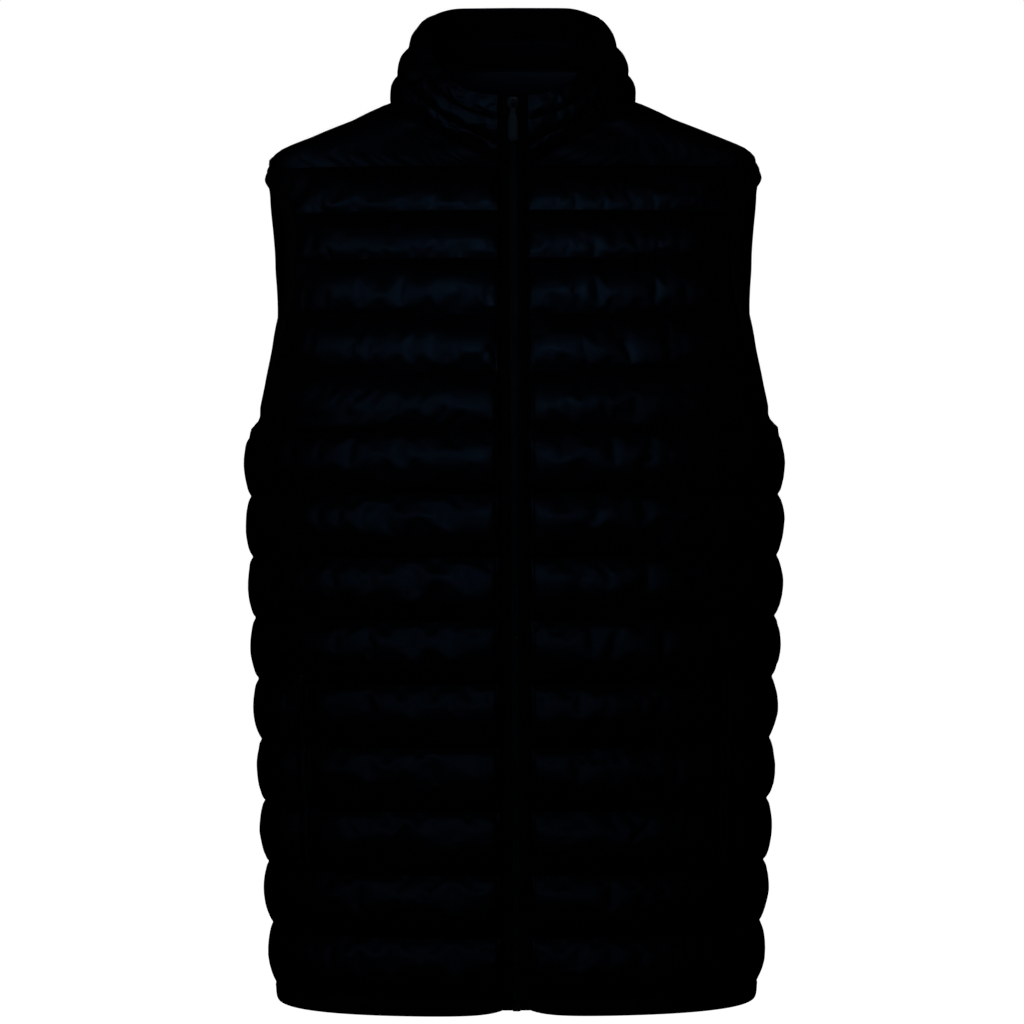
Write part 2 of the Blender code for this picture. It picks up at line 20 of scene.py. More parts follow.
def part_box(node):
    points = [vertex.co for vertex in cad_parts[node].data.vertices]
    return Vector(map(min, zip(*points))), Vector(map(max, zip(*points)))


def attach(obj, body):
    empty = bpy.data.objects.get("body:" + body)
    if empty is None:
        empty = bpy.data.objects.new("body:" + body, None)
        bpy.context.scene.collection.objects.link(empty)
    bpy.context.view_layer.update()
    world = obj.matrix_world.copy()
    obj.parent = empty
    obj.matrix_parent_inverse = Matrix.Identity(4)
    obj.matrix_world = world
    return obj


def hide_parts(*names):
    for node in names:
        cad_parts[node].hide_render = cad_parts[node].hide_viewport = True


bl_info = {
    "name": "Puffer Vest",
    "version": (1, 0, 0),
    "blender": (4, 5, 0),
    "location": "View3D > Sidebar > Puffer Vest",
    "description": "Dresses the frame of a quilted vest: panels, collar, bindings and zips",
    "category": "Add Mesh",
}

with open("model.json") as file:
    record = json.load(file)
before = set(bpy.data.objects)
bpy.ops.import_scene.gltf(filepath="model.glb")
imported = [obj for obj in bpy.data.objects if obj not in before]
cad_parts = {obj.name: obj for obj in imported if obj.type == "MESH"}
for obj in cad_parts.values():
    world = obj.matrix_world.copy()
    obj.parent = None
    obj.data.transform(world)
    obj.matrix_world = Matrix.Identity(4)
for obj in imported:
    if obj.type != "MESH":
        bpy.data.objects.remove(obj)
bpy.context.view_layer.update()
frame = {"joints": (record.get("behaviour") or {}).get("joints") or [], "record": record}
COLOURS = {row["slot"]: row["base_color"][:3] for row in frame["record"]["materials"]}
BODY = "vest"

# --- The frame's own sizes -------------------------------------------------------------------
GAP = 0.0003  # between neighbouring pieces
QUILT_PITCH = 0.0447
QUILT_STEP = 0.0005  # at which the cloth's length is measured
EDGE_SOFT = 0.014  # a tube reaches its full height this far from the zip
SEAM_SOFT = 0.075  # this far from the side seams
ARMHOLE_SOFT = 0.030  # this far from the armholes
SHOULDER_SOFT = 0.022  # and this far from the shoulder seams
EDGE_ZIP = 0.35  # part of the full height that is left at the zip
EDGE_SEAM = 0.34  # at the side seam
EDGE_SHOULDER = 0.32  # at the shoulder seam
EDGE_ARMHOLE = 0.12  # and under the armhole's binding
HEM_Z = -0.651
ARMPIT_Z = -0.2495
TIP_Z = -0.044
NECK_FRONT_Z = -0.054
NECK_POINT_Z = -0.002
BACK_NECK_RISE = 0.010
RISE_FROM_Z = -0.10
ZIP_HALF = 0.0105

FIGURE_COLUMNS = ("z", "half_width", "front", "back", "axis_y", "front_round", "back_round")
FIGURE = (
    (-0.665, 0.1750, 0.126, 0.117, 0.000, 3.0, 2.6),
    (-0.560, 0.1825, 0.132, 0.116, 0.000, 2.7, 2.6),
    (-0.430, 0.1895, 0.136, 0.113, 0.000, 2.6, 2.6),
    (-0.300, 0.1948, 0.137, 0.122, 0.000, 2.5, 2.5),
    (-0.2495, 0.1955, 0.135, 0.128, 0.000, 2.5, 2.5),
    (-0.2385, 0.1885, 0.1325, 0.129, 0.000, 2.5, 2.5),
    (-0.207, 0.1905, 0.1235, 0.132, 0.001, 2.5, 2.5),
    (-0.165, 0.1965, 0.109, 0.134, 0.003, 2.4, 2.5),
    (-0.1245, 0.1965, 0.094, 0.131, 0.005, 2.4, 2.5),
    (-0.0875, 0.1910, 0.070, 0.122, 0.007, 2.5, 2.6),
    (-0.062, 0.1840, 0.050, 0.114, 0.008, 2.8, 2.8),
    (-0.044, 0.1785, 0.040, 0.105, 0.009, 3.0, 2.8),
    (-0.029, 0.1460, 0.034, 0.096, 0.010, 3.2, 2.7),
    (-0.0145, 0.1135, 0.026, 0.086, 0.010, 3.2, 2.5),
    (0.000, 0.0915, 0.018, 0.075, 0.010, 3.0, 2.2),
)
NECKLINE = (  # z, x
    (-0.054, 0.0105),
    (-0.046, 0.0200),
    (-0.039, 0.0310),
    (-0.031, 0.0470),
    (-0.015, 0.0710),
    (-0.002, 0.0900),
)
ARMHOLE = (  # z, y in front, y behind
    (-0.2495, 0.000, 0.000),
    (-0.243, -0.030, 0.030),
    (-0.232, -0.047, 0.047),
    (-0.215, -0.060, 0.062),
    (-0.185, -0.068, 0.075),
    (-0.150, -0.066, 0.080),
    (-0.115, -0.055, 0.077),
    (-0.085, -0.037, 0.066),
    (-0.062, -0.018, 0.048),
    (-0.044, 0.009, 0.009),
)
COLLAR_TOP = (  # x, y, z
    (0.0105, -0.045, -0.002),
    (0.034, -0.041, 0.003),
    (0.056, -0.022, 0.026),
    (0.0665, 0.010, 0.060),
    (0.058, 0.041, 0.0705),
    (0.042, 0.054, 0.0763),
    (0.022, 0.060, 0.0775),
    (0.0, 0.061, 0.0778),
)
COLLAR_BAFFLES = 3
COLLAR_GAP = 0.0006
COLLAR_BOW = 0.0045  # how far its middle stands out from a straight line up
COLLAR_PUFF = 0.0024

BINDING_WIDTH = 0.008
BINDING_GAP = 0.0009
BINDING_OUT = 0.0018
BINDING_IN = 0.0032
BINDING_FAR_OUT = 0.0011
BINDING_FAR_IN = 0.0026
HEM_WIDTH = 0.010
HEM_RISE = 0.0042  # how much narrower the hem's binding is beside the zip
HEM_RISE_OVER = 0.012
ELASTIC_THICK = 0.0008
BINDING_LAP = 0.0014  # how far a binding reaches over the cloth's edge
BINDING_POINTS = 20  # across its outside
BINDING_OPEN = 0.75  # half the angle at which it is open
BINDING_POWER = 2 / 3
SEAM_PLACE = 0.25  # where its stitches lie, in parts of its width
SEAM_WIDTH = 0.06
SEAM_DEPTH = 0.00022
THREAD_SEAT = 0.9  # in parts of BINDING_OUT
THREAD_SINK = 1.2  # in parts of STITCH_LIFT
EDGE_SPACING = 0.0035  # between the sections of an armhole's binding

TAPE_INNER = 0.0033
TAPE_RECESS = 0.0010
TAPE_THICK = 0.0007
TAPE_SHORT = 0.0035  # how far a tape ends above the hem
TAPE_LAP = 0.0014  # how far a tape reaches under the panel's edge
TAPE_STEP = 0.004
TAPE_PROFILE = (  # across from the centre plane, depth behind the panels' edge
    (-0.0003, 0.0022),
    (0.0024, 0.0021),
    (TAPE_INNER, TAPE_RECESS),
    (0.0045, TAPE_RECESS),
    (ZIP_HALF + TAPE_LAP, TAPE_RECESS + 0.0002),
)
BOX_SHORT = 0.0030  # how far the box ends above the longest point of the zip
CHAIN_HALF = 0.0029
CHAIN_OUT = 0.0002
CHAIN_THICK = 0.0024

POCKET_TOP_Z = -0.4200
POCKET_BOTTOM_Z = -0.5560
POCKET_FROM = (0.51, 0.548)  # parts of the way round where the pocket's dip starts and is full
POCKET_TO = (0.597, 0.64)
POCKET_SINK = 0.75
POCKET_SEAT = 0.00045
POCKET_MARGIN = 0.003
POCKET_STEP = 0.002
LIP_NEAR = 0.0009  # from the pocket's middle to a lip's inner edge
LIP_SHORT = 0.0002
LIP_HALF = 0.0007  # half a lip's thickness
LIP_END = 0.003  # a lip thins over this length at its ends
LIP_THINNEST = 0.02  # squared, at its very end
LIP_POINTS = 16
LIP_POWERS = (0.7, 0.8)  # of the cosine and sine in its rounded profile
POCKET_COIL = (0.0008, 0.0004, 0.0005)  # half width, half thickness, level of its middle

# --- The zips' hard pieces, at the front zip's size ------------------------------------------
PULL_SIZE = 0.72  # of a pocket's slider and pull, beside the front zip's
SHIELD = ((0.0042, 0.0047), 3.2, 32)  # half width and height, power of the outline, points
SHIELD_TAPER = 0.22  # how much narrower its lower end is
SHIELD_THICK = 0.0012
SHIELD_DEEP = 0.0022  # from the pull's axis back to the middle of the plate
CORE = ((0.0029, 0.0045), 3.0, 32)
CORE_THICK = 0.0040
CORE_DEEP = 0.0044
BRIDGE = ((0.0024, 0.0024), 2.0, 28)
BRIDGE_HOLE = ((0.0012, 0.0012), 2.0, 20)
BRIDGE_THICK = 0.0018
SLIDER_BEVEL = 0.0003
PULL_SHAPE = (  # part of the length, half width
    (0.00, 0.0026),
    (0.14, 0.0026),
    (0.27, 0.0020),
    (0.42, 0.0034),
    (0.58, 0.0038),
    (1.00, 0.0038),
)
PULL_POINTS = 25
PULL_ENDS = (0.0007, -0.0290)  # above and below its axis
PULL_ROUND_TOP = (0.05, 2.2, 0.25)  # part of the length, power, least square of the width
PULL_ROUND_END = (0.16, 2.6, 0.0004)
PULL_THICK = 0.0014
PULL_BEVEL = 0.00035
PULL_EYE = ((0.0014, 0.0018), 4.0, 24)
PULL_EYE_Z = -0.0025
PULL_BAR = ((0.00065, 0.00065), 2.0, 16)
PULL_BAR_LONG = 0.0046
PULL_BAR_BEVEL = 0.0002
RIM = ((0.0026, 0.0072), 3.5, 32)
RIM_Z = -0.0190
RIM_INSET = (0.72, 0.9)  # its inner edge beside its outer one
RIM_THICK = 0.0007
RIM_BEVEL = 0.0001
RIM_OUT = 0.00055  # from the middle of the tab to the middle of the rim
BOX_OUTLINE = (8.0, 40)  # power and points
BOX_BEVEL = 0.0004
BOX_RIB = (0.32, 0.12)  # half width and height, in parts of the box
BOX_RIB_OUTLINE = (4.0, 24)
BOX_RIB_AT = 0.1  # above the box's middle, in parts of its height
BOX_RIB_PROUD = 0.0006
BOX_RIB_BEVEL = 0.0002
SHARP_FROM = math.radians(40)
UPRIGHT = Matrix.Rotation(math.pi / 2, 4, "X")  # XY plates to the XZ plane
SIDEWAYS = Matrix.Rotation(math.pi / 2, 4, "Z") @ UPRIGHT  # and to the YZ plane

# --- The cloth's finer form ------------------------------------------------------------------
ROWS = 12  # rows of the simulated cloth in each tube
FRONT_COLUMNS = 68
BACK_COLUMNS = 95
COLLAR_COLUMNS = 121
COLLAR_TUCK = 0.0022  # how far the collar reaches behind the neck edge
INNER_ROWS = 4  # the inside has one row for this many of the outside's
LINE_DEPTH = 0.0022  # from the outside to the inside along a quilting line
INNER_PUFF = 0.0016  # how far the inside stands in between its lines
TUBE_ROUND = 0.75
YOKE_SAG = 0.95  # the padding of the uppermost tube hangs towards its lower stitching
YOKE_FLAT = 0.92  # the part of its height that the front's uppermost tube lacks
FOLD_RADIUS = 0.0013  # of a panel's edges
GROOVE_FROM_ZIP = 0.0026  # the edge stitching beside the zip
GROOVE_WIDTH = 0.0007
GROOVE_DEPTH = 0.0005
EDGE_PLACES = (0, 0.04, 0.1, 0.18, 0.28, 0.4, 0.52, 0.62, 0.72, 0.84)  # finer columns at an edge
BACK_SHAKE = 2.5  # how much more the back is shaken than the fronts
COLLAR_SHAKE = 0.3  # and the collar
YOKE_EVEN = 0.15  # how uneven the cloth above the shoulders' tips is, beside the rest
CHEST_Z, CHEST_REACH = -0.165, 0.085  # where the cloth has its most slack
BACK_SLACK = 0.6  # the back's share of it, before its unevenness
SHAKE_PATCH = (4, 3)  # rows and columns of a patch of the unevenness before the cloth fills
FILL_PATCH, FILL_SEED = (ROWS, 12), 50  # of the uneven filling
SLACK_PATCH, SLACK_SEED = (ROWS, 6), 60  # and of the back's uneven slack
SLACK_LEVELS = 10  # steps between the least and the most slack
ZIP_SLACK_REACH = 0.03
PANEL_MOVE = 0.0060  # the furthest that the simulation may take a point
SEAM_MOVE = 0.2  # the part of that which is left at a seam
COLLAR_MOVE = 0.0009
LEAST_HEIGHT = 0.15  # the part of a tube's height that the simulation has to leave
TUCK_REACH = 0.0012
TOP_POINTS = 5  # over the collar's top fold
TOP_SEAM = 0.4  # how close to a seam the top fold counts
SEAM_POWER = 0.7  # of the rise of a tube away from a seam
INNER_FOLD = 0.5  # how far the collar's inside follows its rounded ends
SECTION_SAMPLES = 500
CLOSE = 1e-4  # levels and heights nearer than this are the same
WELD = 1e-6
TINY = 1e-9  # keeps a division from 0

CLOTH_SETTINGS = {
    "quality": 5,
    "mass": 0.15,
    "tension_stiffness": 20,
    "compression_stiffness": 20,
    "shear_stiffness": 8,
    "tension_damping": 5,
    "compression_damping": 5,
    "shear_damping": 5,
    "air_damping": 3,
    "use_pressure": True,
}

STITCH_LENGTH = 0.0026
STITCH_PITCH = 0.0034
STITCH_SHAPE = ((-0.5, 0.15), (-0.32, 0.85), (0.0, 1.0), (0.32, 0.85), (0.5, 0.15))  # place, girth
THREAD_RADIUS = 0.00019
STITCH_LIFT = 0.00030  # the thread's middle above the bottom of the quilting line

COIL_PITCH = 0.0014
WIRE_RADIUS = 0.00033
COIL_REACH = 0.00025  # how far a coil's heads pass the centre plane
COIL_STEPS = 12  # sections in a turn
COIL_SIDES = 5

LIGHT_COLOUR = (0.80, 0.92, 1.0)
SIDE_SHARE = 0.5  # the side light's power beside the front light's
FLOOR_RADIUS = 12
FLOOR_SIDES = 96
SENSOR_WIDTH = 36


# --- What the rest is made with --------------------------------------------------------------
def unit(vectors):
    """Vectors over their lengths."""
    return vectors / np.linalg.norm(vectors, axis=-1, keepdims=True)


def read_at(at, along, values):
    """Points read at these lengths along their line, straight between its rows."""
    return np.stack([np.interp(at, along, values[:, k]) for k in range(3)], axis=1)


def signed_power(values, power):
    """sign(v) |v|^power."""
    return np.sign(values) * np.abs(values) ** power


def ramp(distance, reach):
    """Straight from 0 to 1 at the reach."""
    return np.clip(distance / reach, 0, 1)


def bell(at, middle, reach):
    """exp(-d^2), with the distance from the middle in parts of the reach."""
    return np.exp(-(((at - middle) / reach) ** 2))


def carried(path, across, out, x, y):
    """A profile carried along a path: path + x across + y out, one row a section."""
    return path[:, None] + x[..., None] * across[:, None] + y[..., None] * out[:, None]


def linked(name, data):
    """A new object in the scene."""
    made = bpy.data.objects.new(name, data)
    bpy.context.scene.collection.objects.link(made)
    return made


def seated(name, node, mesh, look, body=BODY):
    """A finished piece on its body, with its look's material, in place of a node of the frame."""
    mesh.materials.append(finish(look))
    piece = linked(name, mesh)
    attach(piece, body)
    if node:
        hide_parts(node)
    return piece


def mesh_of(holder):
    """A new mesh of an object with its modifiers applied."""
    bpy.context.view_layer.update()
    graph = bpy.context.evaluated_depsgraph_get()
    return bpy.data.meshes.new_from_object(holder.evaluated_get(graph))


# --- The figure's surface --------------------------------------------------------------------
def smooth(table, column, at):
    """Reads a column of a table on a cubic curve that doesn't overshoot its rows.

    Each row's slope is the harmonic mean of the slopes on both sides of it.
    """
    rows = np.array(table, float)
    xs, ys = rows[:, 0], rows[:, column]
    step, slope = np.diff(xs), np.diff(ys) / np.diff(xs)
    tangent = np.zeros(len(xs))
    same = slope[:-1] * slope[1:] > 0
    before, after = np.where(same, slope[:-1], 1), np.where(same, slope[1:], 1)
    mean = 3 * (step[:-1] + step[1:]) / (
        (2 * step[1:] + step[:-1]) / before + (step[1:] + 2 * step[:-1]) / after
    )
    tangent[1:-1] = np.where(same, mean, 0)
    tangent[0], tangent[-1] = slope[0], slope[-1]
    at = np.clip(at, xs[0], xs[-1])
    i = np.clip(np.searchsorted(xs, at) - 1, 0, len(step) - 1)
    t, h = (at - xs[i]) / step[i], step[i]
    return (
        ys[i] * (1 + 2 * t) * (1 - t) ** 2
        + ys[i + 1] * t * t * (3 - 2 * t)
        + h * tangent[i] * t * (1 - t) ** 2
        - h * tangent[i + 1] * t * t * (1 - t)
    )


def figure(name, z):
    """A column of the figure's table at these levels."""
    return smooth(FIGURE, FIGURE_COLUMNS.index(name), z)


def distances(points):
    """Each point's distance along the line through the points."""
    return np.concatenate([[0], np.cumsum(np.linalg.norm(np.diff(points, axis=0), axis=1))])


def sections(z, behind):
    """x, y and distance round the figure, from the centre plane to the side, one row a level.

    x = half width * sin(turn)^(2/n) and y = axis + depth * cos(turn)^(2/n).
    """
    z = np.asarray(z, float)[:, None]
    depth = figure("back", z) if behind else -figure("front", z)
    power = 2 / figure("back_round" if behind else "front_round", z)
    turn = np.linspace(0, math.pi / 2, SECTION_SAMPLES)[None]
    x = figure("half_width", z) * np.sin(turn) ** power
    y = figure("axis_y", z) + depth * np.cos(turn).clip(0) ** power
    steps = np.hypot(np.diff(x, axis=1), np.diff(y, axis=1))
    return x, y, np.concatenate([np.zeros_like(z), np.cumsum(steps, axis=1)], axis=1)


def rise(z, y, behind):
    """How far a point of the back is raised, so that the back neck's middle is above its ends."""
    if not behind:
        return 0 * y
    t = ramp(z - RISE_FROM_Z, -RISE_FROM_Z)
    reach = (y - figure("axis_y", z)) / figure("back", z)
    return BACK_NECK_RISE * t * t * (3 - 2 * t) * reach * reach


def quilt_lines(behind):
    """Levels of the quilting lines, one pitch apart along the cloth, ending at the panel's top."""
    z = np.arange(HEM_Z, 0, QUILT_STEP)
    depth = figure("back" if behind else "front", z)
    y = figure("axis_y", z) + (depth if behind else -depth)
    along = distances(np.stack([z, y], axis=1))
    levels = np.interp(np.arange(0, along[-1], QUILT_PITCH), along, z)
    top = 0.0 if behind else NECK_POINT_Z
    lines = [*levels[levels < top - QUILT_PITCH / 3], top]
    lines[int(np.argmin(np.abs(np.array(lines) - ARMPIT_Z)))] = ARMPIT_Z
    return np.array(lines)


def panel_rows(behind):
    """Levels of a panel's rows, and each row's place in its tube, from 0 to 1."""
    lines = quilt_lines(behind)
    t = np.arange(ROWS) / ROWS
    z = (lines[:-1, None] + t * np.diff(lines)[:, None]).ravel()
    z, place = np.append(z, lines[-1]), np.append(np.tile(t, len(lines) - 1), 0)
    z[int(np.argmin(np.abs(z - TIP_Z)))] = TIP_Z
    return z, place


def tube_height(place):
    """The rise across a tube, between an ellipse and a parabola: (4 t (1 - t))^0.75."""
    return (4 * place * (1 - place)) ** TUBE_ROUND


def panel_ends(z, behind):
    """How far along its section a panel starts and stops at each level."""
    x, y, along = sections(z, behind)
    start, stop = np.zeros(len(z)), along[:, -1] - GAP / 2
    sign = 1 if behind else -1
    for i, level in enumerate(z):
        if not behind:
            inner = smooth(NECKLINE, 1, level) if level > NECK_FRONT_Z else ZIP_HALF
            start[i] = np.interp(inner, x[i], along[i]) + (GAP if level > NECK_FRONT_Z else 0)
        if ARMPIT_Z < level < TIP_Z:
            edge = smooth(ARMHOLE, 2 if behind else 1, level)
            stop[i] = np.interp(-sign * edge, -sign * y[i], along[i])
    return start, stop


def half_panel(z, columns, behind):
    """Base points of half a panel, and each point's distance from its two ends."""
    x, y, along = sections(z, behind)
    start, stop = panel_ends(z, behind)
    at = start[:, None] + columns * (stop - start)[:, None]
    px = np.array([np.interp(a, b, c) for a, b, c in zip(at, along, x)])
    py = np.array([np.interp(a, b, c) for a, b, c in zip(at, along, y)])
    level = np.broadcast_to(z[:, None], px.shape)
    points = np.stack([px, py, level + rise(level, py, behind)], axis=2)
    return points, at - start[:, None], stop[:, None] - at


def outward(points):
    """Unit normals of a grid of points, away from the Z axis."""
    normal = grid_normals(points)
    row = len(points) // 4
    return normal * np.sign((normal[row, :, :2] * points[row, :, :2]).sum())


def square_to_seams(z, normal, columns):
    """Turns the normals along the side and shoulder seams into the seams' own plane."""
    held = ~((z > ARMPIT_Z) & (z < TIP_Z))
    for column in columns:
        normal[held, column, 1] = 0
        normal[held, column] = unit(normal[held, column])
    return normal


def soft_edge(distance, reach, least):
    """A quarter circle from the least height at an edge to 1 at its reach."""
    t = ramp(distance, reach)
    return least + (1 - least) * np.sqrt(t * (2 - t))


def seam_height(z, distance):
    """The part of a tube's height at this distance from a panel's outer edge.

    It is least + (1 - least) (d / reach)^0.7, with a least height and a reach for each row.
    """
    low = np.where(z > ARMPIT_Z, EDGE_ARMHOLE, EDGE_SEAM)
    low = np.where(z > TIP_Z - CLOSE, EDGE_SHOULDER, low)[:, None]
    reach = np.where(z > ARMPIT_Z, ARMHOLE_SOFT, SEAM_SOFT)
    reach = np.where(z > TIP_Z - CLOSE, SHOULDER_SOFT, reach)[:, None]
    return low + (1 - low) * ramp(distance, reach) ** SEAM_POWER


@functools.lru_cache(maxsize=None)
def panel(behind):
    """A panel's grid as a dict: its base, normals, tube heights and distances to its edges."""
    z, place = panel_rows(behind)
    yoke = z > quilt_lines(behind)[-2] - CLOSE
    if behind:
        half = BACK_COLUMNS // 2
        right, _, from_seam = half_panel(z, np.linspace(0, 1, half + 1), True)
        base = np.concatenate([right[:, :0:-1] * (-1, 1, 1), right], axis=1)
        from_seam = np.concatenate([from_seam[:, :0:-1], from_seam], axis=1)
        across = from_seam[:, :1] * 0 + np.linspace(-1, 1, base.shape[1]) * from_seam[:, half, None]
        left_of = across - across[:, :1]
        right_of = across[:, -1:] - across
        normal = square_to_seams(z, outward(base), [0, -1])
        edge = seam_height(z, from_seam)
    else:
        base, left_of, right_of = half_panel(z, np.linspace(0, 1, FRONT_COLUMNS), False)
        across = left_of
        normal = square_to_seams(z, outward(base), [-1])
        least = np.where(z > NECK_FRONT_Z, 0, EDGE_ZIP)[:, None]
        edge = soft_edge(left_of, EDGE_SOFT, least) * seam_height(z, right_of)
        edge = edge * (1 - YOKE_FLAT * yoke[:, None] * ramp(right_of, SEAM_SOFT))
    up = distances(base[:, base.shape[1] // 2])[:, None] + 0 * across
    return {
        "z": z,
        "place": place,
        "base": base,
        "normal": normal,
        "tube": tube_height(sagging(yoke, place, right_of if not behind else from_seam)),
        "edge": edge,
        "left_of": left_of,
        "right_of": right_of,
        "uv": np.stack([across, up], axis=2),
    }


def sagging(yoke, place, from_seam):
    """Places in the tubes, moved down in the uppermost one away from the shoulder seam."""
    power = 1 - (1 - YOKE_SAG) * ramp(from_seam, SEAM_SOFT) * yoke[:, None]
    return place[:, None] ** power


def pocket_window(grid):
    """1 where a front panel is held down by its pocket's zip, falling to 0 beside it."""
    part = grid["left_of"] / (grid["left_of"] + grid["right_of"])
    sideways = np.interp(part, (*POCKET_FROM, *POCKET_TO), (0, 1, 1, 0))
    level = grid["z"][:, None]
    return sideways * ((level > POCKET_BOTTOM_Z) & (level < POCKET_TOP_Z))


# --- Simulation and refinement ---------------------------------------------------------------
def grid_faces(rows, columns):
    """The four corners of each face of a grid of points."""
    index = np.arange(rows * columns).reshape(rows, columns)
    corners = (index[:-1, :-1], index[:-1, 1:], index[1:, 1:], index[1:, :-1])
    return np.stack(corners, axis=2).reshape(-1, 4)


def broad_noise(shape, rows, columns, seed):
    """Random values from -1 to 1, each a few rows and columns wide, blended between."""
    coarse = np.random.default_rng(seed).uniform(
        -1, 1, (shape[0] // rows + 2, shape[1] // columns + 2)
    )
    down, over = np.arange(shape[0]) / rows, np.arange(shape[1]) / columns
    i, j = down.astype(int), over.astype(int)
    a, b = (down - i)[:, None], (over - j)[None]
    a, b = a * a * (3 - 2 * a), b * b * (3 - 2 * b)
    top = coarse[i][:, j] * (1 - b) + coarse[i][:, j + 1] * b
    low = coarse[i + 1][:, j] * (1 - b) + coarse[i + 1][:, j + 1] * b
    return top * (1 - a) + low * a


def blown_up(name, start, normal, pinned, slack, settings, shake, seed):
    """A grid of cloth after Blender's cloth simulation, held where it is pinned.

    The cloth is cut larger than its grid by between slack_least and slack_most, so that pressure
    gathers it along its stitches.
    """
    rows, columns = start.shape[:2]
    turned = (grid_normals(start) * normal).sum() < 0
    if turned:
        start, normal, pinned, slack = (grid[:, ::-1] for grid in (start, normal, pinned, slack))
    noise = broad_noise((rows, columns), *SHAKE_PATCH, seed) * ~pinned * shake
    shaken = start + normal * noise[..., None]
    mesh = bpy.data.meshes.new(name)
    mesh.from_pydata(shaken.reshape(-1, 3).tolist(), [], grid_faces(rows, columns).tolist())
    cloth = linked(name, mesh)
    held = cloth.vertex_groups.new(name="held")
    held.add(np.flatnonzero(pinned).tolist(), 1.0, "REPLACE")
    loose = cloth.vertex_groups.new(name="loose")
    for level in range(SLACK_LEVELS + 1):
        index = np.flatnonzero(np.rint(slack.ravel() * SLACK_LEVELS) == level)
        loose.add(index.tolist(), level / SLACK_LEVELS, "REPLACE")
    modifier = cloth.modifiers.new("cloth", "CLOTH")
    made = modifier.settings
    made.vertex_group_mass = "held"
    made.vertex_group_shrink = "loose"
    made.shrink_min, made.shrink_max = -settings.slack_least, -settings.slack_most
    for key, value in CLOTH_SETTINGS.items():
        setattr(made, key, value)
    made.bending_stiffness = settings.stiffness
    made.uniform_pressure_force = settings.pressure
    made.effector_weights.gravity = 0
    modifier.collision_settings.use_collision = False
    scene = bpy.context.scene
    for step in range(1, settings.frames + 1):
        scene.frame_set(step)
    result = cloth.evaluated_get(bpy.context.evaluated_depsgraph_get())
    points = np.empty(rows * columns * 3, np.float32)
    result.data.vertices.foreach_get("co", points)
    bpy.data.objects.remove(cloth)
    bpy.data.meshes.remove(mesh)
    scene.frame_set(1)
    points = points.reshape(rows, columns, 3).astype(float)
    return points[:, ::-1] if turned else points


def grid_normals(points):
    """Unit normals of a grid of points, on the side that its faces have."""
    return unit(np.cross(np.gradient(points, axis=1), np.gradient(points, axis=0)))


def held_near(points, start, base, normal, least, most):
    """Simulated points, moved no further than the most and never under the least height."""
    move = points - start
    far = np.linalg.norm(move, axis=2, keepdims=True)
    points = start + move * np.minimum(1, most / np.maximum(far, TINY))
    height = ((points - base) * normal).sum(axis=2)
    return points + normal * np.maximum(least - height, 0)[..., None]


def filled(name, base, normal, height, pinned, slack, cloth, shake, seed, most):
    """A padded grid's outer points after the simulation, with its edges held as well."""
    pinned[:, [0, -1]] = True
    pinned[[0, -1]] = True
    start = base + normal * height[..., None]
    points = blown_up(name, start, normal, pinned, slack, cloth, shake, seed)
    least = np.where(pinned, height, height * LEAST_HEIGHT)
    return held_near(points, start, base, normal, least, most)


def refined(grid, places, axis):
    """A grid at fractional places along one axis, on Catmull-Rom curves through its points."""
    grid = np.moveaxis(grid, axis, 0)
    ends = (2 * grid[:1] - grid[1:2], 2 * grid[-1:] - grid[-2:-1])
    row = np.concatenate([ends[0], grid, ends[1]])
    i = np.clip(places.astype(int), 0, len(grid) - 2)
    t = (places - i).reshape(-1, 1, 1)
    a, b, c, d = row[i], row[i + 1], row[i + 2], row[i + 3]
    curve = b + 0.5 * t * (c - a + t * (2 * a - 5 * b + 4 * c - d + t * (3 * (b - c) + d - a)))
    return np.moveaxis(curve, 0, axis)


def refined_tubes(grid):
    """A grid with two rows for each, tube by tube, so that the quilting lines stay creases."""
    places = np.arange(0, ROWS + 0.25, 0.5)
    tubes = [refined(grid[i : i + ROWS + 1], places, 0) for i in range(0, len(grid) - 1, ROWS)]
    return np.concatenate([tubes[0], *(tube[1:] for tube in tubes[1:])])


def fine_columns(count):
    """Two places for each step of a grid's columns, and more beside its two edges."""
    edge = np.array(EDGE_PLACES)
    return np.concatenate([edge, np.arange(1, count - 1.75, 0.5), (count - 1 - edge)[::-1]])


def fine_grids(*grids):
    """Grids of points or values, refined together in both directions."""
    grids = [grid if grid.ndim == 3 else grid[..., None] for grid in grids]
    stack = np.concatenate(grids, axis=2)
    stack = refined(refined_tubes(stack), fine_columns(stack.shape[1]), 1)
    ends = np.cumsum([grid.shape[2] for grid in grids])[:-1]
    parts = np.split(stack, ends, axis=2)
    return [part if part.shape[2] > 1 else part[..., 0] for part in parts]


def quilt_threads(outer, normal):
    """Points and normals along each quilting line inside a refined grid."""
    return [(outer[i], normal[i]) for i in range(2 * ROWS, len(outer) - 1, 2 * ROWS)]


def fold(distance):
    """How far a folded edge drops, on a quarter circle: r - sqrt(r^2 - (r - d)^2)."""
    inside = np.clip(FOLD_RADIUS - distance, 0, FOLD_RADIUS)
    return FOLD_RADIUS - np.sqrt(FOLD_RADIUS**2 - inside**2)


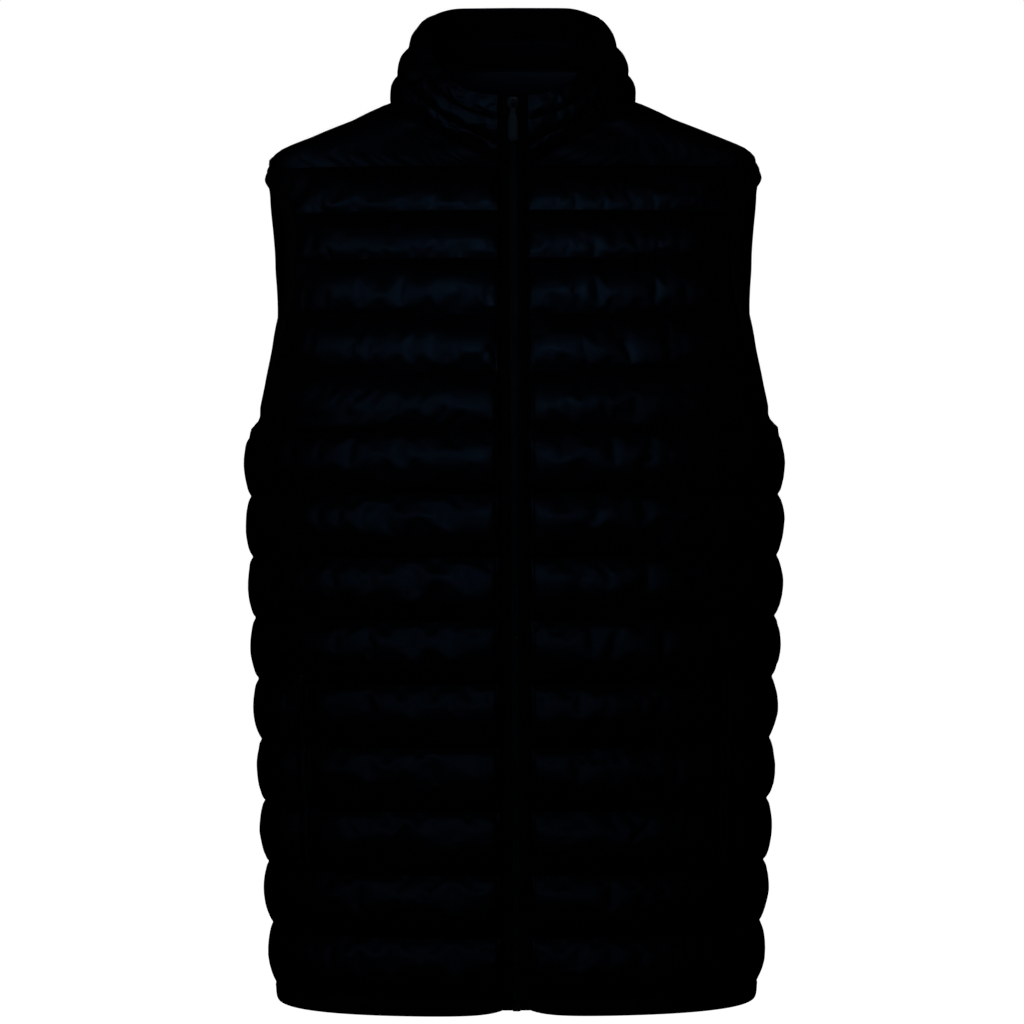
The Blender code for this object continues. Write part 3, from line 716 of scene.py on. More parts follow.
# --- Meshes ----------------------------------------------------------------------------------
def add_piece(name, node, points, faces, look, uv=None, seam=None, creases=None):
    """A piece from points and faces, with a UV point and a closeness to the seams for each point.

    An edge between two points with the same crease number above 0 is sharp.
    """
    mesh = bpy.data.meshes.new(name)
    mesh.from_pydata(np.asarray(points).tolist(), [], faces)
    corner = np.empty(len(mesh.loops), int)
    mesh.loops.foreach_get("vertex_index", corner)
    uv = np.asarray(points)[:, (0, 2)] if uv is None else np.asarray(uv)
    mesh.uv_layers.new(name="cloth").data.foreach_set("uv", uv[corner].astype(np.float32).ravel())
    if seam is not None:
        near = mesh.attributes.new("seam", "FLOAT", "POINT")
        near.data.foreach_set("value", np.asarray(seam, np.float32))
    if volume(mesh) < 0:
        mesh.flip_normals()
    mesh.shade_smooth()
    if creases is not None:
        ends = np.empty(len(mesh.edges) * 2, int)
        mesh.edges.foreach_get("vertices", ends)
        low, high = creases[ends.reshape(-1, 2)].T
        sharp = mesh.attributes.new("sharp_edge", "BOOLEAN", "EDGE")
        sharp.data.foreach_set("value", (low == high) & (low > 0))
    return seated(name, node, mesh, look)


def volume(mesh):
    """The signed volume of a closed mesh, from its triangles' corners: sum of a . (b x c) / 6."""
    mesh.calc_loop_triangles()
    corners = np.empty(len(mesh.loop_triangles) * 3, int)
    mesh.loop_triangles.foreach_get("vertices", corners)
    points = np.empty(len(mesh.vertices) * 3)
    mesh.vertices.foreach_get("co", points)
    a, b, c = points.reshape(-1, 3)[corners.reshape(-1, 3)].transpose(1, 0, 2)
    return float((a * np.cross(b, c)).sum() / 6)


def wall(name, node, outer, inner, inner_rows, uv, seam, look):
    """A closed wall: the outer grid, an inside on some of its rows, and a strip round the edges."""
    rows, columns = outer.shape[:2]
    count = len(inner_rows)
    front = np.arange(rows * columns).reshape(rows, columns)
    rear = rows * columns + np.arange(count * columns).reshape(count, columns)
    faces = grid_faces(rows, columns).tolist()
    faces += (rows * columns + grid_faces(count, columns)[:, ::-1]).tolist()
    for k in range(count - 1):
        steps = list(range(inner_rows[k], inner_rows[k + 1] + 1))
        faces.append([*front[steps, 0].tolist(), int(rear[k + 1, 0]), int(rear[k, 0])])
        faces.append([*front[steps[::-1], -1].tolist(), int(rear[k, -1]), int(rear[k + 1, -1])])
    low = np.stack([front[0, 1:], front[0, :-1], rear[0, :-1], rear[0, 1:]], axis=1)
    high = np.stack([front[-1, :-1], front[-1, 1:], rear[-1, 1:], rear[-1, :-1]], axis=1)
    faces += low.tolist() + high.tolist()
    points = np.concatenate([outer.reshape(-1, 3), inner[inner_rows].reshape(-1, 3)])
    uv = np.concatenate([uv.reshape(-1, 2), uv[inner_rows].reshape(-1, 2)])
    seam = np.concatenate([seam.ravel(), seam[inner_rows].ravel()])
    creases = np.zeros(len(points), int)
    creases[: rows * columns] = np.repeat(crease_numbers(rows), columns)
    return add_piece(name, node, points, faces, look, uv, seam, creases)


def crease_numbers(rows):
    """A number for each fine row: its tube's, on a quilting line inside a panel, or 0."""
    row = np.arange(rows)
    inside = (row % (2 * ROWS) == 0) & (row > 0) & (row < rows - 1)
    return np.where(inside, row // (2 * ROWS), 0)


def ring_quads(here, after):
    """Faces between rows of points round a profile and the rows after them."""
    corners = (here, np.roll(here, -1, axis=1), np.roll(after, -1, axis=1), after)
    return np.stack(corners, axis=2).reshape(-1, 4)


def tube(name, node, rings, look, uv=None, seam=None, creases=None, loop=False):
    """A profile carried along a path: one ring of points a section, capped or closed on itself."""
    index = np.arange(rings.shape[0] * rings.shape[1]).reshape(rings.shape[:2])
    if loop:
        faces = ring_quads(index, np.roll(index, -1, axis=0)).tolist()
    else:
        faces = ring_quads(index[:-1], index[1:]).tolist()
        faces += [index[0, ::-1].tolist(), index[-1].tolist()]
    uv = None if uv is None else uv.reshape(-1, 2)
    seam = None if seam is None else seam.ravel()
    return add_piece(name, node, rings.reshape(-1, 3), faces, look, uv, seam, creases)


def wire(path, radius, sides):
    """Rings round a path: path + r (cos f n + sin f b), with b as near upright as it can be."""
    axis = np.array((0.0, 0.0, 1.0))
    along = unit(np.gradient(path, axis=0))
    b = unit(axis - (along @ axis)[:, None] * along)
    n = np.cross(b, along)
    angle = np.linspace(0, 2 * math.pi, sides, endpoint=False)
    return carried(path, n, b, radius * np.cos(angle), radius * np.sin(angle))


def stitches(name, lines, skip=None):
    """Threads along lines of points and normals: each is a lozenge with pointed ends."""
    part, girth = np.array(STITCH_SHAPE).T
    angle = np.arange(4) * math.pi / 2
    middle, along, side, out = [], [], [], []
    for points, normals in lines:
        reach = distances(points)
        at = np.arange(STITCH_PITCH, reach[-1] - STITCH_PITCH, STITCH_PITCH)
        if len(at) == 0:
            continue
        spot, up = read_at(at, reach, points), read_at(at, reach, normals)
        go = unit(read_at(at + THREAD_RADIUS, reach, points) - spot)
        up = unit(up - (up * go).sum(axis=1, keepdims=True) * go)
        keep = np.ones(len(at), bool) if skip is None else ~skip(spot)
        middle.append((spot + up * STITCH_LIFT)[keep])
        along.append(go[keep])
        out.append(up[keep])
        side.append(np.cross(go, up)[keep])
    middle, along, side, out = (np.concatenate(v)[:, None, None] for v in (middle, along, side, out))
    radius = THREAD_RADIUS * girth[None, :, None, None]
    cos, sin = np.cos(angle)[None, None, :, None], np.sin(angle)[None, None, :, None]
    points = middle + along * (STITCH_LENGTH * part)[None, :, None, None]
    points = points + radius * (cos * side + sin * out)
    count, rings, sides = points.shape[:3]
    index = np.arange(rings * sides).reshape(rings, sides)
    quads = np.concatenate([ring_quads(index[:-1], index[1:]), index[:1, ::-1], index[-1:]])
    faces = (quads[None] + (np.arange(count) * rings * sides)[:, None, None]).reshape(-1, 4)
    return add_piece(name, None, points.reshape(-1, 3), faces.tolist(), "thread")


# --- Finishes --------------------------------------------------------------------------------
class Wire:
    """A socket's value, with the arithmetic that adds Math nodes."""

    def __init__(self, finish, socket):
        self.finish, self.socket = finish, socket

    def maths(self, operation, *values):
        """A Math node on this value and the others."""
        return self.finish.node("ShaderNodeMath", {"operation": operation}, (self, *values))

    def __add__(self, other):
        return self.maths("ADD", other)

    def __sub__(self, other):
        return self.maths("SUBTRACT", other)

    def __rsub__(self, other):
        return self.finish.node("ShaderNodeMath", {"operation": "SUBTRACT"}, (other, self))

    def __mul__(self, other):
        return self.maths("MULTIPLY", other)

    __radd__, __rmul__ = __add__, __mul__


class Finish:
    """A material with a Principled shader, built from values and named nodes."""

    def __init__(self, name, constants):
        self.material = bpy.data.materials.new(name)
        self.material.use_nodes = True
        self.tree = self.material.node_tree
        self.shader = self.tree.nodes["Principled BSDF"]
        for socket, value in constants.items():
            self.shader.inputs[socket].default_value = value

    def node(self, kind, settings=None, inputs=(), output=0):
        """A node of this kind with these settings and socket values, as a Wire of one output."""
        made = self.tree.nodes.new(kind)
        for key, value in (settings or {}).items():
            setattr(made, key, value)
        named = inputs.items() if isinstance(inputs, dict) else enumerate(inputs)
        for key, value in named:
            if isinstance(value, Wire):
                self.tree.links.new(value.socket, made.inputs[key])
            else:
                made.inputs[key].default_value = value
        return Wire(self, made.outputs[output])

    def cloth_at(self, across, up):
        """The piece's own UV point in metres, over a repeat of this size."""
        place = self.node("ShaderNodeUVMap", {"uv_map": "cloth"})
        inputs = {"Vector": place, "Scale": (1 / across, 1 / up, 1)}
        return self.node("ShaderNodeMapping", {}, inputs)

    def noise(self, place, detail=2.0, roughness=0.5):
        """A noise texture of about one blot a unit."""
        inputs = {"Vector": place, "Scale": 1.0, "Detail": detail, "Roughness": roughness}
        return self.node("ShaderNodeTexNoise", {}, inputs)

    def wave(self, place, direction):
        """Bands with a sine profile."""
        settings = {"wave_type": "BANDS", "bands_direction": direction, "wave_profile": "SIN"}
        return self.node("ShaderNodeTexWave", settings, {"Vector": place, "Scale": WAVE_TURN})

    def colour(self, factor, dark, light):
        """From dark to light by the factor."""
        inputs = {0: factor, MIX_DARK: (*dark, 1), MIX_LIGHT: (*light, 1)}
        return self.node("ShaderNodeMix", {"data_type": "RGBA"}, inputs, MIX_RESULT)

    def clouded(self, across, up, dark, light, roughness, spread=0.12):
        """A base colour and a roughness that both follow one soft noise, which is returned.

        The colour goes from dark to light, and the roughness from its value up by the spread.
        """
        cloud = self.noise(self.cloth_at(across, up))
        self.use(Base_Color=self.colour(cloud, dark, light), Roughness=cloud * spread + roughness)
        return cloud

    def use(self, **sockets):
        """Links values to the shader's sockets of these names."""
        for name, value in sockets.items():
            self.tree.links.new(value.socket, self.shader.inputs[name.replace("_", " ")])

    def bump(self, height, distance):
        """Height is in parts of the distance, which is in metres."""
        inputs = {"Height": height, "Distance": distance, "Strength": 1.0}
        self.use(Normal=self.node("ShaderNodeBump", {}, inputs))


WAVE_TURN = math.pi / 20  # a wave texture has a band in every second unit at this scale
MIX_DARK, MIX_LIGHT, MIX_RESULT = 6, 7, 2  # a Mix node's sockets for colours
BLUE_CAST = (0.5, 0.8, 1.1)
COIL_TINT = (0.62, 0.86, 1.0, 1)
METAL_TINT = (0.55, 0.80, 1.0, 1)
WEAVE = 0.0006  # half a thread's repeat in the nylon


def tinted(colour, by):
    """A colour made lighter or darker."""
    return tuple(min(1.0, c * by) for c in colour)


def cooled(colour, by):
    """A colour made lighter or darker, and bluer."""
    return tuple(min(1.0, c * by * cool) for c, cool in zip(colour, BLUE_CAST))


def nylon_finish(colours):
    """Down-proof nylon: fine crinkles, gathers beside the stitches and a close plain weave."""
    tint = (*colours.nylon_sheen, 1)
    made = Finish("quilted_nylon", {"Specular IOR Level": colours.nylon_gloss, "Specular Tint": tint})
    cloud = made.noise(made.cloth_at(0.030, 0.030), 3.0)
    made.use(Base_Color=made.colour(cloud, tinted(colours.nylon, 0.5), tinted(colours.nylon, 1.0)))
    patch = made.noise(made.cloth_at(0.009, 0.013), 3.0)
    made.use(Roughness=patch * 0.16 + (colours.nylon_roughness - 0.08))
    seam = made.node("ShaderNodeAttribute", {"attribute_name": "seam"}, (), "Fac")
    crinkle = made.noise(made.cloth_at(0.0045, 0.0075), 3.0, 0.55)
    gather = made.noise(made.cloth_at(0.0038, 0.040), 2.0)
    weave = made.wave(made.cloth_at(WEAVE, WEAVE), "X") * made.wave(made.cloth_at(WEAVE, WEAVE), "Y")
    height = crinkle * 0.22 + gather * seam * 0.75 + weave * 0.006
    made.bump(height, 0.00040)
    return made.material


def binding_finish(colours):
    """Elastic binding: ribs along its length and a fine gather across it."""
    made = Finish("elastic_binding", {"Specular IOR Level": 0.2})
    dark, light = tinted(colours.nylon, 0.4), tinted(colours.nylon, 0.8)
    made.clouded(0.012, 0.012, dark, light, roughness=0.60)
    rib = made.wave(made.cloth_at(0.0011, 0.0011), "Y")
    gather = made.noise(made.cloth_at(0.0022, 0.014))
    made.bump(rib * 0.25 + gather * 0.75, 0.00028)
    return made.material


def tape_finish(colours):
    """Woven zip tape: fine slanted ribs."""
    made = Finish("zip_tape_weave", {"Specular IOR Level": 0.12})
    tape = COLOURS["zip_tape"]
    cloud = made.clouded(0.010, 0.020, tinted(tape, 0.4), tinted(tape, 0.8), roughness=0.66)
    rib = made.wave(made.cloth_at(0.0009, 0.0009), "DIAGONAL")
    made.bump(rib * 0.5 + cloud * 0.5, 0.00012)
    return made.material


def coil_finish(colours):
    """The zip's coil: smooth polyester wire. Its colour, the tape's made 8 to 13 times lighter and
    bluer, is partly its own and partly a painted sheen that lifts the coil out of its own shade.
    """
    made = Finish(
        "zip_coil_wire", {"Specular IOR Level": colours.coil_gloss, "Specular Tint": COIL_TINT}
    )
    tape = COLOURS["zip_tape"]
    # partly painted sheen: the tape's colour lifted 8 to 13 times and made bluer, so the coil shows
    # bright against its own shade
    made.clouded(0.004, 0.006, cooled(tape, 8.0), cooled(tape, 13.0), roughness=0.40)
    return made.material


def thread_finish(colours):
    """Sewing thread, a little lighter than the cloth."""
    made = Finish("polyester_thread", {"Specular IOR Level": 0.4})
    dark, light = tinted(colours.nylon, 1.1), tinted(colours.nylon, 2.0)
    made.clouded(0.002, 0.002, dark, light, roughness=0.4, spread=0.1)
    return made.material


def metal_finish(colours):
    """Black painted metal, worn a little brighter in places."""
    made = Finish(
        "black_painted_metal",
        {"Specular IOR Level": colours.metal_gloss, "Specular Tint": METAL_TINT},
    )
    place = made.node("ShaderNodeTexCoord", {}, (), "Object")
    grain = made.node("ShaderNodeTexNoise", {}, {"Vector": place, "Scale": 900.0, "Detail": 3.0})
    black = COLOURS["black_metal"]
    made.use(Base_Color=made.colour(grain, cooled(black, 1.5), cooled(black, 3.5)))
    made.use(Roughness=grain * 0.16 + 0.32)
    made.bump(grain, 0.00003)
    return made.material


LOOKS = {  # a finish and the slot of its pieces
    "nylon": (nylon_finish, "nylon"),
    "binding": (binding_finish, "nylon"),
    "tape": (tape_finish, "zip_tape"),
    "coil": (coil_finish, "zip_tape"),
    "thread": (thread_finish, "nylon"),
    "metal": (metal_finish, "black_metal"),
}


@functools.lru_cache(maxsize=None)
def finish(look):
    """The material of this look, made once."""
    return LOOKS[look][0](bpy.context.scene.vest_colours)


# --- Panels and collar -----------------------------------------------------------------------
def simulated_panel(behind, seed, cloth):
    """A panel's outer points after the simulation, on its own grid."""
    grid = panel(behind)
    level, pinned = grid["z"][:, None], grid["tube"] < CLOSE
    even = np.where(level > TIP_Z, YOKE_EVEN, 1)
    patches = broad_noise(pinned.shape, *FILL_PATCH, seed + FILL_SEED)
    height = grid["tube"] * grid["edge"] * cloth.puff * (1 + cloth.uneven * even * patches)
    chest = bell(level, CHEST_Z, CHEST_REACH)
    near = ramp(grid["right_of"], SEAM_SOFT)
    shake = cloth.shake * even
    if behind:
        near = np.minimum(near, ramp(grid["left_of"], SEAM_SOFT))
        noise = broad_noise(pinned.shape, *SLACK_PATCH, seed + SLACK_SEED)
        slack = chest * (BACK_SLACK + (1 - BACK_SLACK) * noise)
        shake = shake * BACK_SHAKE
    else:
        window = pocket_window(grid)
        height = height * (1 - POCKET_SINK * window)
        pinned = pinned | (window > 1 - CLOSE)
        slack = np.maximum(chest, np.exp(-grid["left_of"] / ZIP_SLACK_REACH))
    most = (PANEL_MOVE * (SEAM_MOVE + (1 - SEAM_MOVE) * near) * even)[..., None]
    base, normal = grid["base"], grid["normal"]
    return filled("panel_cloth", base, normal, height, pinned, slack, cloth, shake, seed, most)


def make_panel(node, behind, mirror, seed, cloth):
    """The refined, closed panel, and the stitches along its lines and beside the zip."""
    grid = panel(behind)
    outer = simulated_panel(behind, seed, cloth)
    keys = ("base", "normal", "uv", "tube", "left_of", "right_of")
    outer, base, normal, uv, *values = fine_grids(outer, *(grid[key] for key in keys))
    normal = unit(normal)
    tube_now, from_left, from_right = values[0].clip(0, 1), values[1].clip(0), values[2].clip(0)
    at_seam = base[..., 2] < ARMPIT_Z
    drop = fold(from_right) * at_seam
    if behind:
        drop = drop + fold(from_left) * at_seam
    else:
        beside_zip = base[..., 2] < NECK_FRONT_Z
        groove = bell(from_left, GROOVE_FROM_ZIP, GROOVE_WIDTH)
        drop = drop + (fold(from_left) + GROOVE_DEPTH * groove) * beside_zip
    outer = outer - normal * drop.clip(0, FOLD_RADIUS)[..., None]
    inner = base - normal * (LINE_DEPTH + INNER_PUFF * tube_now)[..., None]
    inner_rows = sorted({*range(0, len(outer), INNER_ROWS), len(outer) - 1})
    flip = np.array((-1, 1, 1)) if mirror else np.ones(3)
    outer, inner, normal = outer * flip, inner * flip, normal * flip
    seam = (1 - tube_now) ** 2
    made = wall(node + "_quilted", node, outer, inner, inner_rows, uv, seam, "nylon")
    lines = quilt_threads(outer, normal)
    if not behind:
        column = int(np.argmin(np.abs(from_left[0] - GROOVE_FROM_ZIP)))
        beside = base[:, column, 2] < NECK_FRONT_Z - GROOVE_FROM_ZIP
        lines.append((outer[beside, column], normal[beside, column]))
    stitches(node + "_stitches", lines, None if behind else on_pocket)


def resampled(points, parts):
    """Points on a smooth curve through a line's points, at these parts of its length."""
    points = np.array(points, float)
    along = distances(points)
    at = parts * along[-1]
    return np.stack([smooth(np.stack([along, points[:, k]], 1), 1, at) for k in range(3)], 1)


def neck_edge():
    """The neck edge on the +X side, from the zip over the shoulder to the middle of the back."""
    front, back = panel(False), panel(True)
    line = front["base"][front["z"] >= NECK_FRONT_Z - CLOSE, 0]
    start = np.array([[ZIP_HALF, 0, NECK_FRONT_Z]])
    start[0, 1] = np.interp(NECK_FRONT_Z, front["z"], front["base"][:, 0, 1])
    half = back["base"].shape[1] // 2
    behind = back["base"][-1, half:][::-1]
    line = line[line[:, 2] > NECK_FRONT_Z + CLOSE]
    return np.concatenate([start, line[:-1], (line[-1:] + behind[:1]) / 2, behind[1:]])


@functools.lru_cache(maxsize=None)
def collar_grid():
    """Base points of the whole collar and its outward directions, from zip to zip.

    Each row is a part of the way from the neck edge to the top edge, bowed out by a sine.
    """
    parts = np.linspace(0, 1, COLLAR_COLUMNS // 2 + 1)
    low, top = resampled(neck_edge(), parts), resampled(COLLAR_TOP, parts)
    low, top = (np.concatenate([line * (-1, 1, 1), line[-2::-1]]) for line in (low, top))
    up = unit(top - low)
    low = low + up * COLLAR_GAP
    away = unit(np.cross(np.gradient(low, axis=0), up))
    away *= np.sign((away[:, :2] * (low[:, :2] - (0, figure("axis_y", 0)))).sum())
    away[[0, -1]] = (0, -1, 0)
    v = np.arange(COLLAR_BAFFLES * ROWS + 1)[:, None, None] / (COLLAR_BAFFLES * ROWS)
    return low + v * (top - low) + away * COLLAR_BOW * np.sin(math.pi * v), away


def make_collar(cloth):
    """The collar as rings round its wall: up the outside, over the top fold, down the inside."""
    base, away = collar_grid()
    rows, columns = base.shape[:2]
    normal = np.broadcast_to(away, base.shape)
    tube_now = tube_height((np.arange(rows) % ROWS) / ROWS)[:, None] + np.zeros(columns)
    along = distances(base[0])
    from_zip = np.minimum(along, along[-1] - along)
    edge = soft_edge(from_zip, EDGE_SOFT, EDGE_ZIP)
    height = tube_now * edge * COLLAR_PUFF
    pinned, slack = tube_now < CLOSE, np.zeros(tube_now.shape)
    shake, seed = cloth.shake * COLLAR_SHAKE, cloth.seed + 3
    outer = filled(
        "collar_cloth", base, normal, height, pinned, slack, cloth, shake, seed, COLLAR_MOVE
    )
    up = distances(base[:, columns // 2])[:, None] + 0 * tube_now
    uv = np.stack([along + 0 * tube_now, up], axis=2)
    wide = np.broadcast_to(from_zip, tube_now.shape)
    outer, base, normal, uv, tube_now, from_zip = fine_grids(
        outer, base, normal, uv, tube_now, wide
    )
    tube_now, from_zip = tube_now.clip(0, 1), from_zip.clip(0)
    outer = outer - normal * fold(from_zip)[..., None]
    tuck = COLLAR_TUCK * np.exp(-uv[..., 1] / TUCK_REACH)[..., None] * unit(base[1:2] - base[:1])
    outer, base = outer - tuck, base - tuck
    depth = LINE_DEPTH + INNER_PUFF * tube_now - fold(from_zip) * INNER_FOLD
    inner = (base - normal * depth[..., None])[::2]
    angle = np.linspace(0, math.pi, TOP_POINTS + 2)[1:-1, None, None]
    middle, radius = (outer[-1] + inner[-1]) / 2, (outer[-1] - inner[-1]) / 2
    lift = unit(base[-1] - base[-2]) * np.linalg.norm(radius, axis=1, keepdims=True)
    over = middle + radius * np.cos(angle) + lift * np.sin(angle)
    rings = np.concatenate([outer, over, inner[::-1]]).transpose(1, 0, 2)
    top_uv = np.repeat(uv[-1:], len(over), axis=0)
    ring_uv = np.concatenate([uv, top_uv, uv[::2][::-1]]).transpose(1, 0, 2)
    seam = (1 - tube_now) ** 2
    seam = np.concatenate([seam, np.full(over.shape[:2], TOP_SEAM), seam[::2][::-1]]).T
    creases = np.zeros(rings.shape[1], int)
    creases[: len(outer)] = crease_numbers(len(outer))
    creases = np.tile(creases, len(rings))
    made = tube("collar_padded", "collar", rings, "nylon", ring_uv, seam, creases)
    stitches("collar_stitches", quilt_threads(outer, normal))


# --- Bindings --------------------------------------------------------------------------------
def armhole_edge():
    """Points and normals round the +X armhole, up the front edge and down the back one."""
    loop, normals = [], []
    for grid in (panel(False), panel(True)):
        held = (grid["z"] > ARMPIT_Z - CLOSE) & (grid["z"] < TIP_Z + CLOSE)
        loop.append(grid["base"][held, -1])
        normals.append(grid["normal"][held, -1])
    joined = []
    for front, back in (loop, normals):
        ends = (front[0] + back[0]) / 2, (front[-1] + back[-1]) / 2
        joined.append(np.array([ends[0], *front[1:-1], ends[1], *back[-2:0:-1]]))
    points, normal = joined
    return evened(points), evened(normal, points)


def evened(values, points=None):
    """A closed line's values again, evenly spaced along its points."""
    points = values if points is None else points
    along = distances(np.concatenate([points, points[:1]]))
    at = np.linspace(0, along[-1], int(along[-1] / EDGE_SPACING), endpoint=False)
    return read_at(at, along, np.concatenate([values, values[:1]]))


def binding(name, node, rests, points, normal, across, width, loop):
    """A strip folded round an edge, open towards the cloth that it holds.

    Its outside is a superellipse that thins from near to far, w/2 (1 - cos f^(2/3)) across, and
    its inside is the same one, less the strip's thickness.
    """
    normal = unit(normal)
    f = np.linspace(BINDING_OPEN, 2 * math.pi - BINDING_OPEN, BINDING_POINTS)
    far = (1 - signed_power(np.cos(f), BINDING_POWER)) / 2
    far = (far - far[0]) / (1 - far[0])
    side = signed_power(np.sin(f), BINDING_POWER)
    high = BINDING_OUT + (BINDING_FAR_OUT - BINDING_OUT) * far
    low = -BINDING_IN + (BINDING_IN - BINDING_FAR_IN) * far
    middle, half = (high + low) / 2, (high - low) / 2
    crease = SEAM_DEPTH * bell(far, SEAM_PLACE, SEAM_WIDTH) * (side > 0)
    out = middle + side * half - crease
    within = middle + side * (half - ELASTIC_THICK)
    wide = (np.asarray(width) + BINDING_GAP + BINDING_LAP) * np.ones(len(points))
    reach = wide[:, None] * np.concatenate([far, 0 * far])
    reach[:, len(far) :] = (wide[:, None] - ELASTIC_THICK) * far[::-1]
    height = np.concatenate([out, within[::-1]])
    rings = carried(points, across, normal, reach - BINDING_LAP, height)
    round_it = distances(np.stack([reach[len(points) // 2], height], axis=1))
    ends = np.concatenate([points, points[:1]]) if loop else points
    along = distances(ends)
    length = along[: len(points), None]
    uv = np.stack([length + 0 * height, round_it + 0 * length], axis=2)
    made = tube(name, node, rings, "binding", uv, loop=loop)
    seam_at = wide * SEAM_PLACE - BINDING_LAP
    lift = BINDING_OUT * THREAD_SEAT - STITCH_LIFT * THREAD_SINK
    thread = points + across * seam_at[:, None] + normal * lift
    stitches(name + "_stitches", [(thread, normal)])


def make_bindings():
    """The rings round the armholes and the strip along the hem, narrower beside the zip."""
    points, normal = armhole_edge()
    along = np.roll(points, -1, axis=0) - np.roll(points, 1, axis=0)
    inward = unit(np.cross(along, normal))
    inward *= np.sign((inward * (points.mean(axis=0) - points)).sum())
    for side, sign in (("left", 1), ("right", -1)):
        turned = (line * (sign, 1, 1) for line in (points, normal, inward))
        names = (f"armhole_edge_{side}", f"armhole_binding_{side}", [f"front_{side}", "back"])
        binding(*names, *turned, BINDING_WIDTH, True)

    front, back = panel(False), panel(True)
    middle = back["base"].shape[1] // 2
    half = np.concatenate([front["base"][0], back["base"][0, -2:middle:-1]])
    side = np.concatenate([front["normal"][0], back["normal"][0, -2:middle:-1]])
    points = np.array([*half, back["base"][0, middle], *(half * (-1, 1, 1))[::-1]])
    normal = np.array([*side, back["normal"][0, middle], *(side * (-1, 1, 1))[::-1]])
    normal[:, 2] = 0
    down = np.broadcast_to((0.0, 0.0, -1.0), points.shape)
    near_zip = np.exp(-(np.abs(points[:, 0]) - ZIP_HALF) / HEM_RISE_OVER) * (points[:, 1] < 0)
    width = HEM_WIDTH - HEM_RISE * near_zip
    names = ("hem_edge", "hem_binding", ["front_left", "front_right", "back"])
    binding(*names, points, normal, down, width, False)


# --- The front zip ---------------------------------------------------------------------------
def zip_path():
    """(y, z) of the panels' edge beside the zip, from the hem to the top of the collar."""
    front = panel(False)
    kept = (front["tube"][:, 0] < CLOSE) | (front["z"] > ARMPIT_Z)
    kept &= front["z"] < NECK_FRONT_Z + CLOSE
    collar, _ = collar_grid()
    low = np.array([[front["base"][0, 0, 1], HEM_Z - HEM_WIDTH]])
    return np.concatenate([low, front["base"][kept, 0, 1:], collar[1:, -1, 1:]])


def make_tapes(path):
    """Each tape is a thin strip with a raised edge beside the coil."""
    across, deep = np.array(TAPE_PROFILE).T
    across = np.concatenate([across, across[::-1]])
    deep = np.concatenate([deep, deep[::-1] + TAPE_THICK])
    z = np.arange(path[0, 1] + TAPE_SHORT, path[-1, 1], TAPE_STEP)
    z = np.append(z, path[-1, 1])
    y = np.interp(z, path[:, 1], path[:, 0])
    wide, level = across + 0 * z[:, None], z[:, None] + 0 * across
    for side, sign in (("left", 1), ("right", -1)):
        rings = np.stack([sign * wide, y[:, None] + deep, level], axis=2)
        uv = np.stack([wide, level], axis=2)
        tube(f"zip_tape_{side}_woven", f"zip_tape_{side}", rings, "tape", uv)


def make_coils(path):
    """Two rows of coil: each turn runs out and back, and climbs only at its outer end.

    x = middle + reach cos f, y = middle - depth sin f, and z climbs by the integral of
    (1 + cos f)^2, so that the heads of one row lie level between those of the other.
    """
    low, high = (corner.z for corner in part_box("zip_chain"))
    low, high = low + WIRE_RADIUS, high - WIRE_RADIUS
    turns = int((high - low) / COIL_PITCH) - 1
    f = np.linspace(0, 2 * math.pi * turns, turns * COIL_STEPS + 1)
    climb = (1.5 * f + 2 * np.sin(f) + 0.25 * np.sin(2 * f)) / (3 * math.pi)
    outermost = CHAIN_HALF - WIRE_RADIUS
    middle, reach = (outermost - COIL_REACH) / 2, (outermost + COIL_REACH) / 2
    deep = CHAIN_THICK / 2 - WIRE_RADIUS
    for side, sign, shift in (("left", 1, 0.0), ("right", -1, 0.5)):
        z = low + (climb + shift) * COIL_PITCH
        y = np.interp(z, path[:, 1], path[:, 0]) + CHAIN_OUT + CHAIN_THICK / 2 - deep * np.sin(f)
        line = np.stack([sign * (middle + reach * np.cos(f)), y, z], axis=1)
        rings = wire(line, WIRE_RADIUS, COIL_SIDES)
        tube(f"zip_coil_{side}", "zip_chain", rings, "coil")


def plate(outlines, thick, bevel, move):
    """A plate with bevelled rims from outlines in the XY plane, the outer one first, then moved."""
    curve = bpy.data.curves.new("plate", "CURVE")
    curve.dimensions = "2D"
    curve.fill_mode = "BOTH"
    curve.extrude = thick / 2 - bevel
    curve.bevel_depth = bevel
    curve.bevel_resolution = 2
    curve.offset = -bevel
    for outline in outlines:
        spline = curve.splines.new("POLY")
        spline.points.add(len(outline) - 1)
        flat = np.concatenate([outline, np.zeros((len(outline), 1)), np.ones((len(outline), 1))], 1)
        spline.points.foreach_set("co", flat.astype(np.float32).ravel())
        spline.use_cyclic_u = True
    holder = linked("plate", curve)
    mesh = mesh_of(holder)
    bpy.data.objects.remove(holder)
    bpy.data.curves.remove(curve)
    work = bmesh.new()
    work.from_mesh(mesh)
    bmesh.ops.remove_doubles(work, verts=work.verts, dist=WELD)
    bmesh.ops.recalc_face_normals(work, faces=work.faces)
    work.to_mesh(mesh)
    work.free()
    mesh.transform(move)
    return mesh


def superellipse(shape, size=1, level=0):
    """|x/a|^n + |y/b|^n = 1, by its angle, with its middle at a level."""
    (half_x, half_y), power, count = shape
    f = np.linspace(0, 2 * math.pi, count, endpoint=False)
    x = signed_power(np.cos(f), 2 / power) * (half_x * size)
    y = signed_power(np.sin(f), 2 / power) * (half_y * size)
    return np.stack([x, y + level * size], axis=1)


